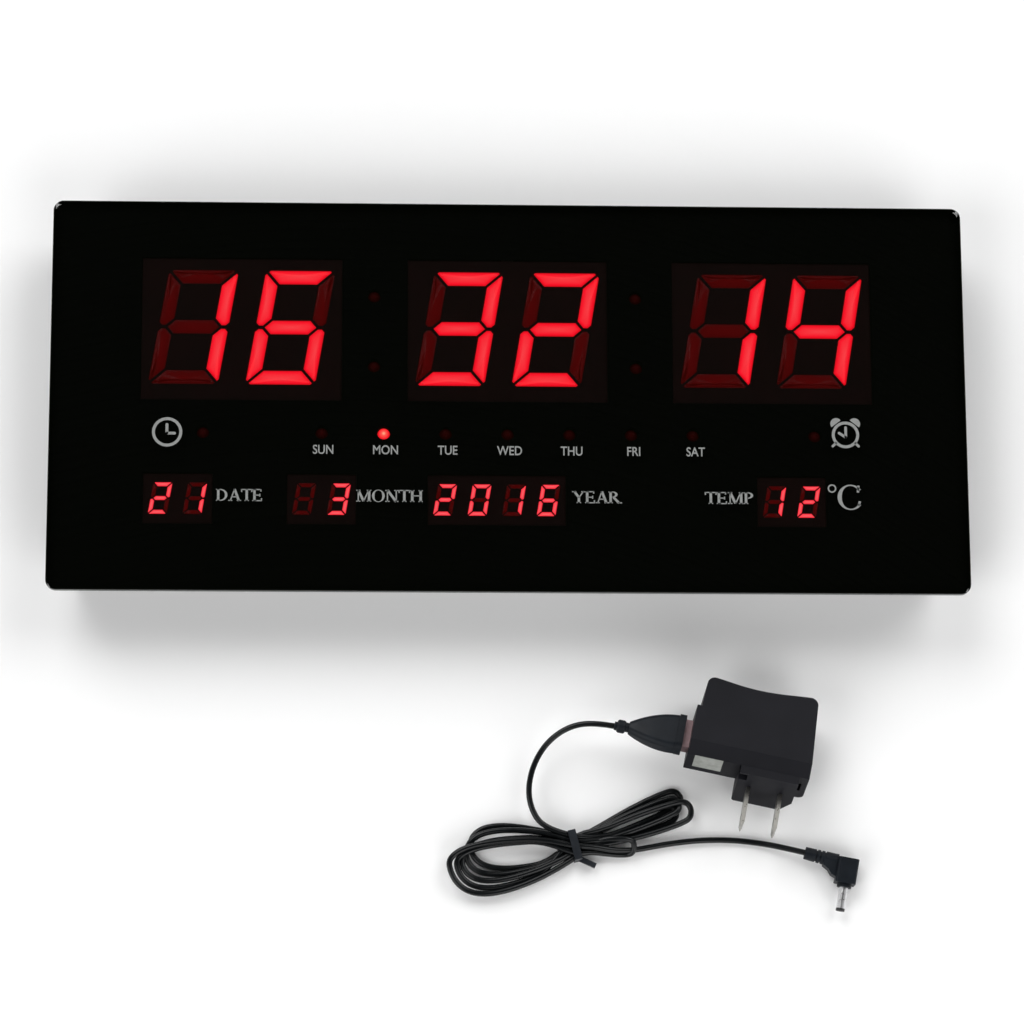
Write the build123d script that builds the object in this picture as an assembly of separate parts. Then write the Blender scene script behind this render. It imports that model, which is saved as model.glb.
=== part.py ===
from build123d import *
import math
import os

# LED calendar wall clock lying on its back, with its mains adapter and its tied power lead beside
# it on the same surface. Millimetres. The origin is the centre of the clock's flat rear face,
# +X runs to the right of the display, +Y to its top edge and +Z out of the front panel.
# Hung on a wall, the clock is turned 90 degrees about X, so that +Y points up.

# ---- Driving dimensions: clock body ----
PANEL_W = 360.0
PANEL_H = 157.0
PANEL_T = 2.5
PANEL_CORNER = 4.0
PANEL_BEVEL = 0.25
DEPTH = 30.0
MASK_T = 0.2
TAPE_T = 0.5
TAPE_W = 4.0
RIM_INSET = 2.5
BACK_INSET = 9.0
CASE_CORNER = 5.0
CASE_WALL = 2.2
CASE_STRAIGHT_Z = 19.0

# ---- Driving dimensions: circuit board ----
BOARD_W = 330.0
BOARD_H = 130.0
BOARD_T = 1.6
BOARD_Z = 12.4
SCREW_X = (-158.0, 0.0, 158.0)
SCREW_Y = 60.5
SCREW_R = 1.25
SCREW_HEAD_R = 2.6
SCREW_HEAD_T = 1.8
BOSS_R = 4.0
PILOT_GAP = 0.05

# ---- Driving dimensions: seven-segment displays ----
SLANT_DEG = 9.5
FACE_GAP = 0.4
WINDOW_GAP = 0.2
SEGMENT_DEPTH = 3.0
PIN_W = 0.6
PIN_DROP = 1.4
BIG = {
    "height": 46.5, "width": 27.4, "bar": 5.6, "gap": 1.0, "corner": 1.2, "rise": 0.8,
    "pitch": 38.1, "case": (78.8, 57.6),
}
SMALL = {
    "height": 12.6, "width": 7.4, "bar": 1.6, "gap": 0.45, "corner": 0.3, "rise": 0.1,
    "pitch": 13.5, "case": (27.0, 20.0),
}
BIG_Y = 27.2
SMALL_Y = -41.4
BIG_X = -0.7
BIG_STEP = 104.6
DISPLAYS = {
    "hours": (BIG, BIG_X - BIG_STEP, BIG_Y, 2),
    "minutes": (BIG, BIG_X, BIG_Y, 2),
    "seconds": (BIG, BIG_X + BIG_STEP, BIG_Y, 2),
    "date": (SMALL, -129.6, SMALL_Y, 2),
    "month": (SMALL, -73.6, SMALL_Y, 2),
    "year": (SMALL, -5.1, SMALL_Y, 4),
    "temperature": (SMALL, 110.6, SMALL_Y, 2),
}

# ---- Driving dimensions: round LEDs ----
LED_R = 2.5
LED_FLANGE_R = 2.9
LED_FLANGE_T = 1.0
LED_H = 8.6
LED_LEG_W = 0.5
LED_LEG_SPACING = 2.54
COLON_X = (-53.3, 50.0)
COLON_Y = (41.0, 12.5)
WEEKDAY_X = -0.8
WEEKDAY_STEP = 24.3
INDICATOR_X = (-120.1, 120.2)
LED_ROW_Y = -14.7

# ---- Driving dimensions: controls, battery and connections ----
RECESS_WALL = 2.0
BUTTON_POCKET = (-105.0, -42.0, 52.0, 14.0, 4.0)
BUTTON_X = {"set": -121.0, "up": -105.0, "down": -89.0}
BUTTON_R = 3.7
BUTTON_FLANGE_R = 4.9
BUTTON_STEM_R = 1.4
BUTTON_GAP = 0.3
BUTTON_TRAVEL = 0.6
SWITCH_SIZE = 6.2
SWITCH_H = 3.5
KNOB = (8.6, 4.6, 3.0)
KNOB_TIP_X = 181.0
KNOB_Y = -34.7
KNOB_Z = 22.9
KNOB_TRAVEL = 2.5
BUZZER_X = 45.0
BUZZER_Y = -45.0
COVER_X = 62.0
COVER_Y = 20.0
COVER_R = 12.6
COVER_GAP = 0.3
COVER_TURN_DEG = 45.0
COVER_CUP_Z = 4.8
TAB_REACH = 2.4
TAB_W = 7.0
CELL_R = 10.0
CELL_T = 3.2
DC_POCKET = (136.0, -47.0, 30.0, 26.0, 10.2)
DC_X = 143.0
DC_AXIS_Z = 6.0
DC_NOSE_R = 3.0
DC_BORE_R = 1.85
DC_PIN_R = 0.6
DC_BODY = (9.0, 12.0, 7.2)
DC_BORE_L = 10.0
KEYHOLE_X = 100.0
KEYHOLE_Y = 42.0
KEYHOLE_R = 4.0
KEYHOLE_SLOT_R = 2.1
KEYHOLE_RISE = 9.0
LABEL = (60.0, 28.0, 0.3)
LABEL_Y = -27.0

VENT = (22.0, 2.4)
VENT_X = 132.0
VENT_TOP_Y = 18.0
VENT_PITCH = 7.0
VENT_ROWS = 5
SOUND_HOLE_R = 0.8
SOUND_RING_R = 3.2
BUZZER = (6.0, 8.2, 1.2, 3.0)
SCREW_LENGTH = 6.0
CROSS_SLOT = (3.2, 0.7, 0.9)
CHIP_LEG = (0.45, 0.6, 0.3, 0.8)
CHIP_GAP = 0.2
MICROCONTROLLER = (18.0, 7.5, 2.3, 14)
MICROCONTROLLER_PLACE = (-40.0, -2.0)
DRIVER_CHIP = (10.0, 4.0, 1.6, 8)
DRIVER_X = (-60.0, 0.0, 30.0)
DRIVER_Y = 30.0
TRANSISTOR = (2.9, 1.4, 1.1)
RESISTOR = (1.2, 2.0, 0.6)
CRYSTAL = (-34.0, 8.0, 1.0, 6.0)
SENSOR_PLACE = (-136.0, -22.0)
SENSOR_R = 1.5
SENSOR_DROP = 5.0
SENSOR_LEG = (0.8, 0.5)
CUP_WALL = 2.2
CUP_GAP = 0.2
CELL_TOP_GAP = 1.4
CELL_LIFT = 0.4
CAP_PROUD = 2.0
FLANGE_GAP = 0.5
FLANGE_T = 1.0
STEM_RISE = 2.3
KNOB_RIB = (1.2, 0.6, 0.4)
SLIDE_SWITCH = (7.0, 13.0, 5.6)
COVER_FACE_Z = 0.5
COVER_PAD_T = 2.2
TAB_T = 1.2
COIN_SLOT = (14.0, 1.8, 1.4)

# ---- Driving dimensions: mains adapter ----
ADAPTER_PLACE = (94.6, -135.6)
ADAPTER_YAW_DEG = -12.0
ADAPTER_TILT_DEG = 17.0
ADAPTER_REAR_W = 43.6
ADAPTER_FRONT_W = 47.2
ADAPTER_D = 33.0
ADAPTER_T = 21.5
ADAPTER_WALL = 2.0
ADAPTER_WAVE = 1.6
ADAPTER_BEVEL = 4.5
ADAPTER_SEAM_Y = -13.0
PORT_BOSS_REAR = 3.0
FOOT_ROUND = 2.5
ADAPTER_ROUND = 3.0
LABEL_SINK = 2.4
PLUG_BLOCK = (23.0, 12.0, 17.0)
PLUG_BLOCK_X = 8.3
PLUG_BLOCK_FRONT = -19.8
BLADE = (1.5, 6.35, 16.5)
BLADE_SPACING = 12.7
BLADE_X = 8.1
BLADE_Z = 3.4
BLADE_ROOT = 6.0
BLADE_HOLE_R = 1.6
BLADE_HOLE_BACK = 4.6
BLADE_TAPER = (1.6, 0.2)
NOTCH_D = 7.0
NOTCHES = ((20.6, 6.0, 1.6, 6.0), (-1.6, 11.5, 3.3, 4.5))
INNER_BOARD = (36.0, 19.0, 1.2)
INNER_BOARD_Y = 2.0
INNER_BOARD_LIFT = 1.2
TRANSFORMER = (11.0, 13.0, 10.5)
TRANSFORMER_X = 12.0
CAPACITOR = (3.0, 11.0)
CAPACITOR_PLACES = ((-5.0, 6.0), (2.0, 6.0))
ADAPTER_LABEL = (11.2, 0.2, 10.6)
ADAPTER_LABEL_PLACE = (-15.6, 8.6)
SEAM_ROOM = (8.0, 16.0)
USB_Y = -5.5
USB_Z = 10.0
USB_SHELL = (18.0, 12.0, 4.5)
USB_SHELL_T = 0.3
USB_WINDOW = (2.2, 3.0, 4.5)
USB_TONGUE = (10.6, 1.4, -0.85)
SOCKET_WALL = 0.3
SOCKET_BACK = 0.8
USB_GAP = 0.3
USB_INSERTED = 9.5
USB_SIDE_X = -24.3
HOOD_GAP = 2.7
# Distance behind the hood's front, width and height of each section of its body.
HOOD_SECTIONS = [(0.0, 14.2, 8.2), (8.5, 13.8, 8.0), (15.5, 10.0, 7.0), (21.3, 5.0, 4.8)]
HOOD_ROUND = 2.3
HOOD_COLLAR = (15.0, 9.0, 2.6)
HOOD_NECK = (20.8, 1.9)
HOOD_KNOB = (22.6, 26.0, 2.6)
HOOD_END = 27.0
HOOD_END_R = 1.7
HOOD_BEND = (-0.05, -0.07)

# ---- Driving dimensions: power lead ----
CORD_D = 2.3
USB_ROUTE = [
    (40.9, -128.5, 14.6),
    (32.0, -126.9, 14.2),
    (22.6, -128.6, 12.2),
    (14.4, -134.6, 9.0),
    (9.2, -143.6, 5.6),
    (7.4, -153.0, 3.2),
    (9.0, -160.8, 3.4),
    (13.2, -166.6, 5.2),
]
PLUG_ROUTE = [
    (49.5, -175.4, 1.6),
    (57.0, -173.8, 1.3),
    (66.5, -172.2, 1.2),
    (76.5, -171.2, 1.2),
    (88.0, -171.2, 1.2),
    (98.0, -172.3, 1.4),
    (106.5, -174.0, 2.6),
    (115.7, -176.4, 4.0),
]
HANK_H = 8.2
LEFT_LOOP = (-1.4, -179.4, 23.4, 14.0, 4.0)
UPPER_LOOP = (2.0, -171.0, 20.0, 7.0, 2.0)
RIGHT_LOOP = (49.5, -162.8, 24.0, 8.2, 22.0)
SMALL_LOOP = (38.5, -174.4, 11.8, 4.0, -4.0)
NECK = (25.7, -174.0, 24.0, 11.0, 14.0)
TIE = (3.0, 11.8, 8.6, 0.6)
TIE_TAIL = (7.0, 2.0, 1.6)
TIE_TAIL_PLACE = (3.4, -7.2, 2.4)
TIE_TAIL_TURN_DEG = -38.0
BARREL_PLACE = (130.9, -188.6, 4.0)
BARREL_YAW_DEG = -10.5
BARREL_BLOCK = (8.1, 9.9, 8.0)
BARREL_R = 1.75
BARREL_LINER_R = 1.35
BARREL_BORE_R = 0.7
BARREL_LENGTH = 10.8
BARREL_TIP_L = 1.0
BARREL_ROOT = 3.0
BARREL_NOSE = (2.8, 1.5)
WEB_H = 5.4
WEB_EDGE = [(-4.05, 1.8), (-5.9, 2.6), (-7.4, 4.4), (-9.6, 5.6), (-9.6, 9.0)]
RELIEF_END = (-17.2, 9.1)
RELIEF_ROOT = (-4.0, 8.2)
RELIEF_R = (2.45, 2.9)
RELIEF_GROOVES = 3
GROOVE_DEPTH = 0.45

# ---- Sizes worked out from the driving ones ----
PANEL_Z = DEPTH - PANEL_T
MASK_Z = PANEL_Z - MASK_T
CASE_TOP = MASK_Z - TAPE_T
FACE_Z = MASK_Z - FACE_GAP
BOARD_TOP = BOARD_Z + BOARD_T
WALL_X = PANEL_W / 2 - RIM_INSET
ADAPTER_LIFT = ADAPTER_D / 2 * math.sin(math.radians(ADAPTER_TILT_DEG))
BLOCK_REAR = PLUG_BLOCK_FRONT + PLUG_BLOCK[1]
BLOCK_DROP = (ADAPTER_D / 2 - BLOCK_REAR) * math.tan(math.radians(ADAPTER_TILT_DEG))
STANDING = (Align.CENTER, Align.CENTER, Align.MIN)
EPS = 0.01


# ---- Small helpers ----
def block(x, y, z, size_x, size_y, size_z):
    """A box centred on x, y and standing on height z."""
    return Pos(x, y, z) * Box(size_x, size_y, size_z, align=STANDING)


def disc(x, y, z, radius, height):
    """An upright cylinder standing on height z."""
    return Pos(x, y, z) * Cylinder(radius, height, align=STANDING)


def slab(width, height, corner, z, thickness):
    """A rounded rectangular plate centred on the origin."""
    return Pos(0, 0, z) * extrude(RectangleRounded(width, height, corner), thickness)


def save(name, shapes):
    """Writes one node, as one solid or as a group of separate solids."""
    solids = [solid for shape in shapes for solid in shape.solids()]
    node = solids[0] if len(solids) == 1 else Compound(children=solids)
    export_step(node, f"parts/{name}.step")


# ---- Seven-segment displays ----
def digit_outlines(style):
    """Corner points of the seven bars of one upright digit, with its sharp outer corners cut off."""
    half_w = style["width"] / 2
    half_h = style["height"] / 2
    bar = style["bar"]
    cut = style["gap"] / math.sqrt(2)
    corner = style["corner"]
    top_right = [
        (half_w - cut - corner, half_h),
        (half_w - cut - corner / 2, half_h - corner / 2),
        (half_w - bar - cut, half_h - bar),
    ]
    top = top_right + [(-u, v) for u, v in reversed(top_right)]
    upper_right = [
        (half_w - corner / 2, half_h - cut - corner / 2),
        (half_w, half_h - cut - corner),
        (half_w, cut + corner),
        (half_w - corner, cut),
        (half_w - bar / 2, cut),
        (half_w - bar, bar / 2 + cut),
        (half_w - bar, half_h - bar - cut),
    ]
    middle = [
        (-half_w + bar / 2 + cut, 0),
        (-half_w + bar + cut, bar / 2),
        (half_w - bar - cut, bar / 2),
        (half_w - bar / 2 - cut, 0),
        (half_w - bar - cut, -bar / 2),
        (-half_w + bar + cut, -bar / 2),
    ]
    lower_right = [(u, -v) for u, v in upper_right]
    bottom = [(u, -v) for u, v in top]
    lower_left = [(-u, v) for u, v in lower_right]
    upper_left = [(-u, v) for u, v in upper_right]
    return [top, upper_right, lower_right, bottom, lower_left, upper_left, middle]


def digit_centres(style, x, count):
    """X positions of a display's digits."""
    return [x + (i - (count - 1) / 2) * style["pitch"] for i in range(count)]


def display_size(style, count):
    """Face width and height of a display with this many digits."""
    width, height = style["case"]
    return width + (count - 2) * style["pitch"], height


def display_segments(style, x, y, count):
    """The light bars of every digit, flush with the display's face."""
    slant = math.tan(math.radians(SLANT_DEG))
    bars = []
    for centre in digit_centres(style, x, count):
        for outline in digit_outlines(style):
            points = [(centre + u + v * slant, y + style["rise"] + v) for u, v in outline]
            face = Pos(0, 0, FACE_Z - SEGMENT_DEPTH) * make_face(Polyline(*points, close=True))
            bars.append(extrude(face, SEGMENT_DEPTH))
    return bars


def display_housing(style, x, y, count, bars):
    """The moulded body of a display, with a pocket for each bar."""
    width, height = display_size(style, count)
    body = block(x, y, BOARD_TOP, width, height, FACE_Z - BOARD_TOP)
    return body - bars


def display_pins(style, x, y, count):
    """Two rows of pins that pass down through the board."""
    height = display_size(style, count)[1]
    pins = []
    for i in range(5):
        for row in (-1, 1):
            pin_x = x + (i - 2) * LED_LEG_SPACING
            pin_y = y + row * (height / 2 - LED_LEG_SPACING)
            pins.append(block(pin_x, pin_y, BOARD_Z - PIN_DROP, PIN_W, PIN_W, BOARD_T + PIN_DROP))
    return pins


# ---- Round LEDs ----
def led(x, y):
    """A 5 mm LED with a flange and a domed lens just behind the mask."""
    top = MASK_Z - FACE_GAP
    body = disc(x, y, top - LED_H, LED_R, LED_H - LED_R)
    flange = disc(x, y, top - LED_H, LED_FLANGE_R, LED_FLANGE_T)
    dome = Pos(x, y, top - LED_R) * Sphere(LED_R)
    return body + flange + dome


def led_legs(x, y):
    """The two legs of one LED, from its flange down into the board."""
    height = MASK_Z - FACE_GAP - LED_H - BOARD_Z
    offsets = (-LED_LEG_SPACING / 2, LED_LEG_SPACING / 2)
    return [block(x + dx, y, BOARD_Z, LED_LEG_W, LED_LEG_W, height) for dx in offsets]


def colon_points():
    return [(x, y) for x in COLON_X for y in COLON_Y]


def weekday_points():
    return [(WEEKDAY_X + (day - 3) * WEEKDAY_STEP, LED_ROW_Y) for day in range(7)]


def indicator_points():
    return [(x, LED_ROW_Y) for x in INDICATOR_X]


# ---- Front ----
def front_panel():
    """Smoked acrylic sheet with a small bevel round its front edge."""
    sheet = slab(PANEL_W, PANEL_H, PANEL_CORNER, PANEL_Z, PANEL_T)
    return chamfer(sheet.faces().sort_by(Axis.Z)[-1].edges(), PANEL_BEVEL)


def panel_mask():
    """Black print behind the sheet, open at each display and each LED."""
    mask = slab(PANEL_W - 1.0, PANEL_H - 1.0, PANEL_CORNER, MASK_Z, MASK_T)
    holes = []
    for style, x, y, count in DISPLAYS.values():
        width, height = display_size(style, count)
        size = (width + 2 * WINDOW_GAP, height + 2 * WINDOW_GAP)
        holes.append(block(x, y, MASK_Z - 1, size[0], size[1], MASK_T + 2))
    for x, y in colon_points() + weekday_points() + indicator_points():
        holes.append(disc(x, y, MASK_Z - 1, LED_R + WINDOW_GAP / 2, MASK_T + 2))
    return mask - holes


def panel_tape():
    """Foam tape between the printed sheet and the rim of the case."""
    width = PANEL_W - 2 * RIM_INSET
    height = PANEL_H - 2 * RIM_INSET
    outside = slab(width, height, CASE_CORNER, CASE_TOP, TAPE_T)
    inside = slab(width - 2 * TAPE_W, height - 2 * TAPE_W, CASE_CORNER, CASE_TOP - 1, TAPE_T + 2)
    return outside - inside


# ---- Rear case ----
def case_section(inset, z):
    """Outline of the case at one height, this far inside the panel's edge."""
    outline = RectangleRounded(PANEL_W - 2 * inset, PANEL_H - 2 * inset, CASE_CORNER)
    return Pos(0, 0, z) * outline


def case_tub(wall, bottom):
    """The tub's filled shape, moved inwards by the wall and starting at the bottom height."""
    share = bottom / CASE_STRAIGHT_Z
    low_inset = BACK_INSET + (RIM_INSET - BACK_INSET) * share + wall
    rim_inset = RIM_INSET + wall
    lower = loft([case_section(low_inset, bottom), case_section(rim_inset, CASE_STRAIGHT_Z)])
    upper = extrude(case_section(rim_inset, CASE_STRAIGHT_Z), CASE_TOP - CASE_STRAIGHT_Z)
    return lower + upper


def recess(pocket):
    """Walls of a pocket let into the rear face, and the pocket's own space."""
    x, y, width, height, depth = pocket
    thick = 2 * RECESS_WALL
    walls = block(x, y, 0, width + thick, height + thick, depth + RECESS_WALL)
    space = block(x, y, -1, width, height, depth + 1)
    return walls, space


def keyhole(x):
    """A round entry with a narrow slot above it, for hanging on a screw."""
    entry = disc(x, KEYHOLE_Y, -1, KEYHOLE_R, CASE_WALL + 2)
    slot = block(x, KEYHOLE_Y + KEYHOLE_RISE / 2, -1, 2 * KEYHOLE_SLOT_R, KEYHOLE_RISE, CASE_WALL + 2)
    end = disc(x, KEYHOLE_Y + KEYHOLE_RISE, -1, KEYHOLE_SLOT_R, CASE_WALL + 2)
    return entry + slot + end


def cover_opening():
    """Round opening for the battery cover, with two notches that let its tabs out."""
    hole = disc(0, 0, -1, COVER_R + COVER_GAP, CASE_WALL + 2)
    reach = 2 * (COVER_R + TAB_REACH + COVER_GAP)
    notch = block(0, 0, -1, reach, TAB_W + 4 * COVER_GAP, CASE_WALL + 2)
    return Pos(COVER_X, COVER_Y, 0) * (hole + Rot(0, 0, COVER_TURN_DEG) * notch)


def vents():
    """Two rows of ventilation slots in the rear face."""
    slots = []
    for row in range(VENT_ROWS):
        for side in (-1, 1):
            y = VENT_TOP_Y - VENT_PITCH * row
            slots.append(block(side * VENT_X, y, -1, *VENT, CASE_WALL + 2))
    return slots


def buzzer_holes():
    """A centre hole and a ring of six, under the buzzer."""
    points = [(BUZZER_X, BUZZER_Y)]
    for i in range(6):
        arm = SOUND_RING_R * Vector(1, 0, 0).rotate(Axis.Z, 60 * i)
        points.append((BUZZER_X + arm.X, BUZZER_Y + arm.Y))
    return [disc(x, y, -1, SOUND_HOLE_R, CASE_WALL + 2) for x, y in points]


def screw_points():
    return [(x, y) for x in SCREW_X for y in (-SCREW_Y, SCREW_Y)]


def switch_slot():
    """Slot in the right wall for the alarm switch knob over its whole travel."""
    low = KNOB_Y - KNOB[1] / 2 - BUTTON_GAP
    high = KNOB_Y + KNOB[1] / 2 + KNOB_TRAVEL + BUTTON_GAP
    height = KNOB[2] + 2 * BUTTON_GAP
    return block(WALL_X, (low + high) / 2, KNOB_Z - height / 2, 4 * CASE_WALL, high - low, height)


def rear_case():
    """The moulded tub with its pockets, bosses, keyholes and openings."""
    inside = case_tub(CASE_WALL, CASE_WALL)
    case = case_tub(0, 0) - inside
    for x, y in screw_points():
        case += disc(x, y, CASE_WALL - EPS, BOSS_R, BOARD_Z - CASE_WALL + EPS)
        case -= disc(x, y, CASE_WALL + 1, SCREW_R + PILOT_GAP, BOARD_Z)
    for pocket in (BUTTON_POCKET, DC_POCKET):
        walls, space = recess(pocket)
        case = case + walls - space
    for x in BUTTON_X.values():
        case -= disc(x, BUTTON_POCKET[1], 0, BUTTON_R + BUTTON_GAP, BOARD_Z)
    nose_y = DC_POCKET[1] + DC_POCKET[3] / 2
    nose = Cylinder(DC_NOSE_R + PILOT_GAP, 3 * RECESS_WALL)
    case -= Pos(DC_X, nose_y, DC_AXIS_Z) * Rot(90, 0, 0) * nose
    case -= [keyhole(-KEYHOLE_X), keyhole(KEYHOLE_X), cover_opening(), switch_slot()]
    case -= vents() + buzzer_holes()
    case -= block(0, LABEL_Y, -1, LABEL[0] + 0.4, LABEL[1] + 0.4, 1 + LABEL[2])
    return case


# ---- Circuit board and what it carries ----
def main_board(drilled):
    """The board, drilled for its screws and for every pin and leg."""
    board = block(0, 0, BOARD_Z, BOARD_W, BOARD_H, BOARD_T)
    holes = [disc(x, y, BOARD_Z - 1, SCREW_R + 0.2, BOARD_T + 2) for x, y in screw_points()]
    return board - holes - drilled


def board_screw(x, y):
    """A pan-head screw with a cross recess, driven down into a boss."""
    shank = disc(x, y, BOARD_Z - SCREW_LENGTH, SCREW_R, BOARD_T + SCREW_LENGTH)
    head = disc(x, y, BOARD_TOP, SCREW_HEAD_R, SCREW_HEAD_T)
    slot_l, slot_w, slot_depth = CROSS_SLOT
    top = BOARD_TOP + SCREW_HEAD_T - slot_depth
    return shank + head - block(x, y, top, slot_l, slot_w, 1) - block(x, y, top, slot_w, slot_l, 1)


def chip(x, y, length, width, height, legs):
    """A gull-wing chip hanging under the board, as one solid with its legs."""
    leg_w, foot_l, leg_t, drop = CHIP_LEG
    body = block(x, y, BOARD_Z - height - CHIP_GAP, length, width, height)
    step = (length - 2 * foot_l) / (legs - 1)
    for i in range(legs):
        leg_x = x + (i - (legs - 1) / 2) * step
        body += block(leg_x, y, BOARD_Z - drop, leg_w, width + 4 * foot_l - 2 * leg_t, leg_t)
        for side in (-1, 1):
            foot_y = y + side * (width / 2 + foot_l + leg_t)
            body += block(leg_x, foot_y, BOARD_Z - drop, leg_w, foot_l, drop)
    return body


def under_block(x, y, size_x, size_y, height):
    """A plain block that hangs from the underside of the board."""
    return block(x, y, BOARD_Z - height, size_x, size_y, height)


def crystal():
    """The 32 kHz can of the clock, lying under the board."""
    x, y, radius, length = CRYSTAL
    return Pos(x, y, BOARD_Z - radius) * Rot(0, 90, 0) * Cylinder(radius, length)


def buzzer():
    """A round buzzer whose sound hole faces the rear."""
    radius, height, hole_r, hole_depth = BUZZER
    body = disc(BUZZER_X, BUZZER_Y, BOARD_Z - height, radius, height)
    return body - disc(BUZZER_X, BUZZER_Y, BOARD_Z - height - 1, hole_r, hole_depth)


def thermistor():
    """A bead sensor on two legs near the vents."""
    x, y = SENSOR_PLACE
    spread, leg_w = SENSOR_LEG
    sensor = Pos(x, y, BOARD_Z - SENSOR_DROP) * Sphere(SENSOR_R)
    for side in (-1, 1):
        sensor += block(x + side * spread, y, BOARD_Z - SENSOR_DROP, leg_w, leg_w, SENSOR_DROP)
    return sensor


def dc_jack():
    """A 3.5 mm barrel jack behind the end wall of its pocket, with its centre pin."""
    wall_y = DC_POCKET[1] + DC_POCKET[3] / 2
    width, length, height = DC_BODY
    body_y = wall_y + RECESS_WALL + length / 2
    body = Pos(DC_X, body_y, DC_AXIS_Z) * Box(width, length, height)
    along = Rot(90, 0, 0)
    nose = Pos(DC_X, wall_y + RECESS_WALL / 2, DC_AXIS_Z) * along * Cylinder(DC_NOSE_R, RECESS_WALL)
    bore = Pos(DC_X, wall_y + DC_BORE_L / 2, DC_AXIS_Z) * along * Cylinder(DC_BORE_R, DC_BORE_L + EPS)
    pin = Pos(DC_X, wall_y + DC_BORE_L / 2 + 1, DC_AXIS_Z) * along * Cylinder(DC_PIN_R, DC_BORE_L - 1)
    return body + nose - bore + pin


def coin_cell_holder():
    """A round cup under the board, open to the rear."""
    cup = disc(COVER_X, COVER_Y, COVER_CUP_Z, CELL_R + CUP_WALL, BOARD_Z - COVER_CUP_Z)
    return cup - disc(COVER_X, COVER_Y, COVER_CUP_Z - 1, CELL_R + CUP_GAP, CELL_T + CELL_TOP_GAP)


def coin_cell():
    """A CR2032 cell seated in its cup."""
    can = disc(COVER_X, COVER_Y, COVER_CUP_Z + CELL_LIFT, CELL_R, CELL_T)
    return chamfer(can.edges().filter_by(GeomType.CIRCLE).sort_by(Axis.Z)[0], CELL_LIFT)


# ---- Moving controls of the clock ----
def push_button(x):
    """A cap with a retaining flange inside the case and a stem for its switch."""
    y = BUTTON_POCKET[1]
    flange_z = BUTTON_POCKET[4] + RECESS_WALL + FLANGE_GAP
    cap = disc(x, y, CAP_PROUD, BUTTON_R, flange_z - CAP_PROUD)
    cap = fillet(cap.edges().filter_by(GeomType.CIRCLE).sort_by(Axis.Z)[0], BUTTON_R / 4)
    flange = disc(x, y, flange_z, BUTTON_FLANGE_R, FLANGE_T)
    stem = disc(x, y, flange_z + FLANGE_T, BUTTON_STEM_R, STEM_RISE)
    return cap + flange + stem


def button_switch(x):
    """The body of a push switch under the board, with a bore for the button's stem."""
    y = BUTTON_POCKET[1]
    body = under_block(x, y, SWITCH_SIZE, SWITCH_SIZE, SWITCH_H)
    return body - disc(x, y, BOARD_Z - SWITCH_H - 1, BUTTON_STEM_R + BUTTON_GAP, SWITCH_H)


def alarm_switch_knob():
    """The slide switch's knob, reaching out past the edge of the front panel."""
    pitch, depth, width = KNOB_RIB
    knob = Pos(KNOB_TIP_X - KNOB[0] / 2, KNOB_Y, KNOB_Z) * Box(*KNOB)
    knob = fillet(knob.faces().sort_by(Axis.X)[-1].edges(), 0.5)
    for i in (-1, 0, 1):
        knob -= Pos(KNOB_TIP_X, KNOB_Y + pitch * i, KNOB_Z) * Box(depth, width, KNOB[2] + 1)
    return knob


def alarm_switch_body():
    """The fixed part of the slide switch, against the inside of the right wall."""
    inner = WALL_X - CASE_WALL
    middle_y = KNOB_Y + KNOB_TRAVEL / 2
    body = Pos(inner - SLIDE_SWITCH[0] / 2, middle_y, KNOB_Z) * Box(*SLIDE_SWITCH)
    body -= switch_slot()
    length = KNOB[1] + KNOB_TRAVEL + 2 * BUTTON_GAP
    start = KNOB_TIP_X - KNOB[0] - BUTTON_GAP
    space = Box(inner - start + 1, length, KNOB[2] + 2 * BUTTON_GAP)
    return body - Pos((inner + start + 1) / 2, middle_y, KNOB_Z) * space


def battery_cover():
    """A twist-off disc with a coin slot, two bayonet tabs and a pad that holds the cell."""
    face = disc(0, 0, COVER_FACE_Z, COVER_R, CASE_WALL - COVER_FACE_Z)
    pad = disc(0, 0, CASE_WALL, CELL_R - 0.8, COVER_PAD_T)
    length = 2 * (COVER_R + TAB_REACH)
    tabs = block(0, 0, CASE_WALL + COVER_GAP, length, TAB_W, TAB_T)
    tabs &= disc(0, 0, 0, COVER_R + TAB_REACH - CUP_GAP, BOARD_Z)
    collar = disc(0, 0, CASE_WALL, COVER_R - 1.0, COVER_GAP + TAB_T)
    return Pos(COVER_X, COVER_Y, 0) * (face + pad + collar + tabs - block(0, 0, 0, *COIN_SLOT))


# ---- Mains adapter, in its own level frame ----
def in_adapter(shape):
    """Moves a piece from the adapter's level frame to where it lies, tipped on its plug block."""
    place = Pos(ADAPTER_PLACE[0], ADAPTER_PLACE[1], ADAPTER_LIFT)
    return place * Rot(0, 0, ADAPTER_YAW_DEG) * Rot(-ADAPTER_TILT_DEG, 0, 0) * shape


def adapter_plan(inset):
    """Plan outline: wider at the blade end, waved at the rear, with a step round the USB port."""
    rear = ADAPTER_D / 2 - inset
    front = -rear - 2 * inset
    rear_x = ADAPTER_REAR_W / 2 - inset
    front_x = ADAPTER_FRONT_W / 2 - inset
    boss_x = USB_SIDE_X + inset
    step_y = PORT_BOSS_REAR - inset
    step_x = -rear_x - (front_x - rear_x) * (rear - step_y) / (rear - front)
    wave = Spline(
        (-rear_x, rear), (-rear_x * 0.4, rear - ADAPTER_WAVE * 0.9),
        (rear_x * 0.25, rear - ADAPTER_WAVE), (rear_x, rear),
        tangents=[(1, -0.05), (1, 0.05)],
    )
    sides = Polyline(
        (rear_x, rear), (front_x, front), (boss_x, front),
        (boss_x, step_y), (step_x, step_y), (-rear_x, rear),
    )
    return make_face(wave + sides)


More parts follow.
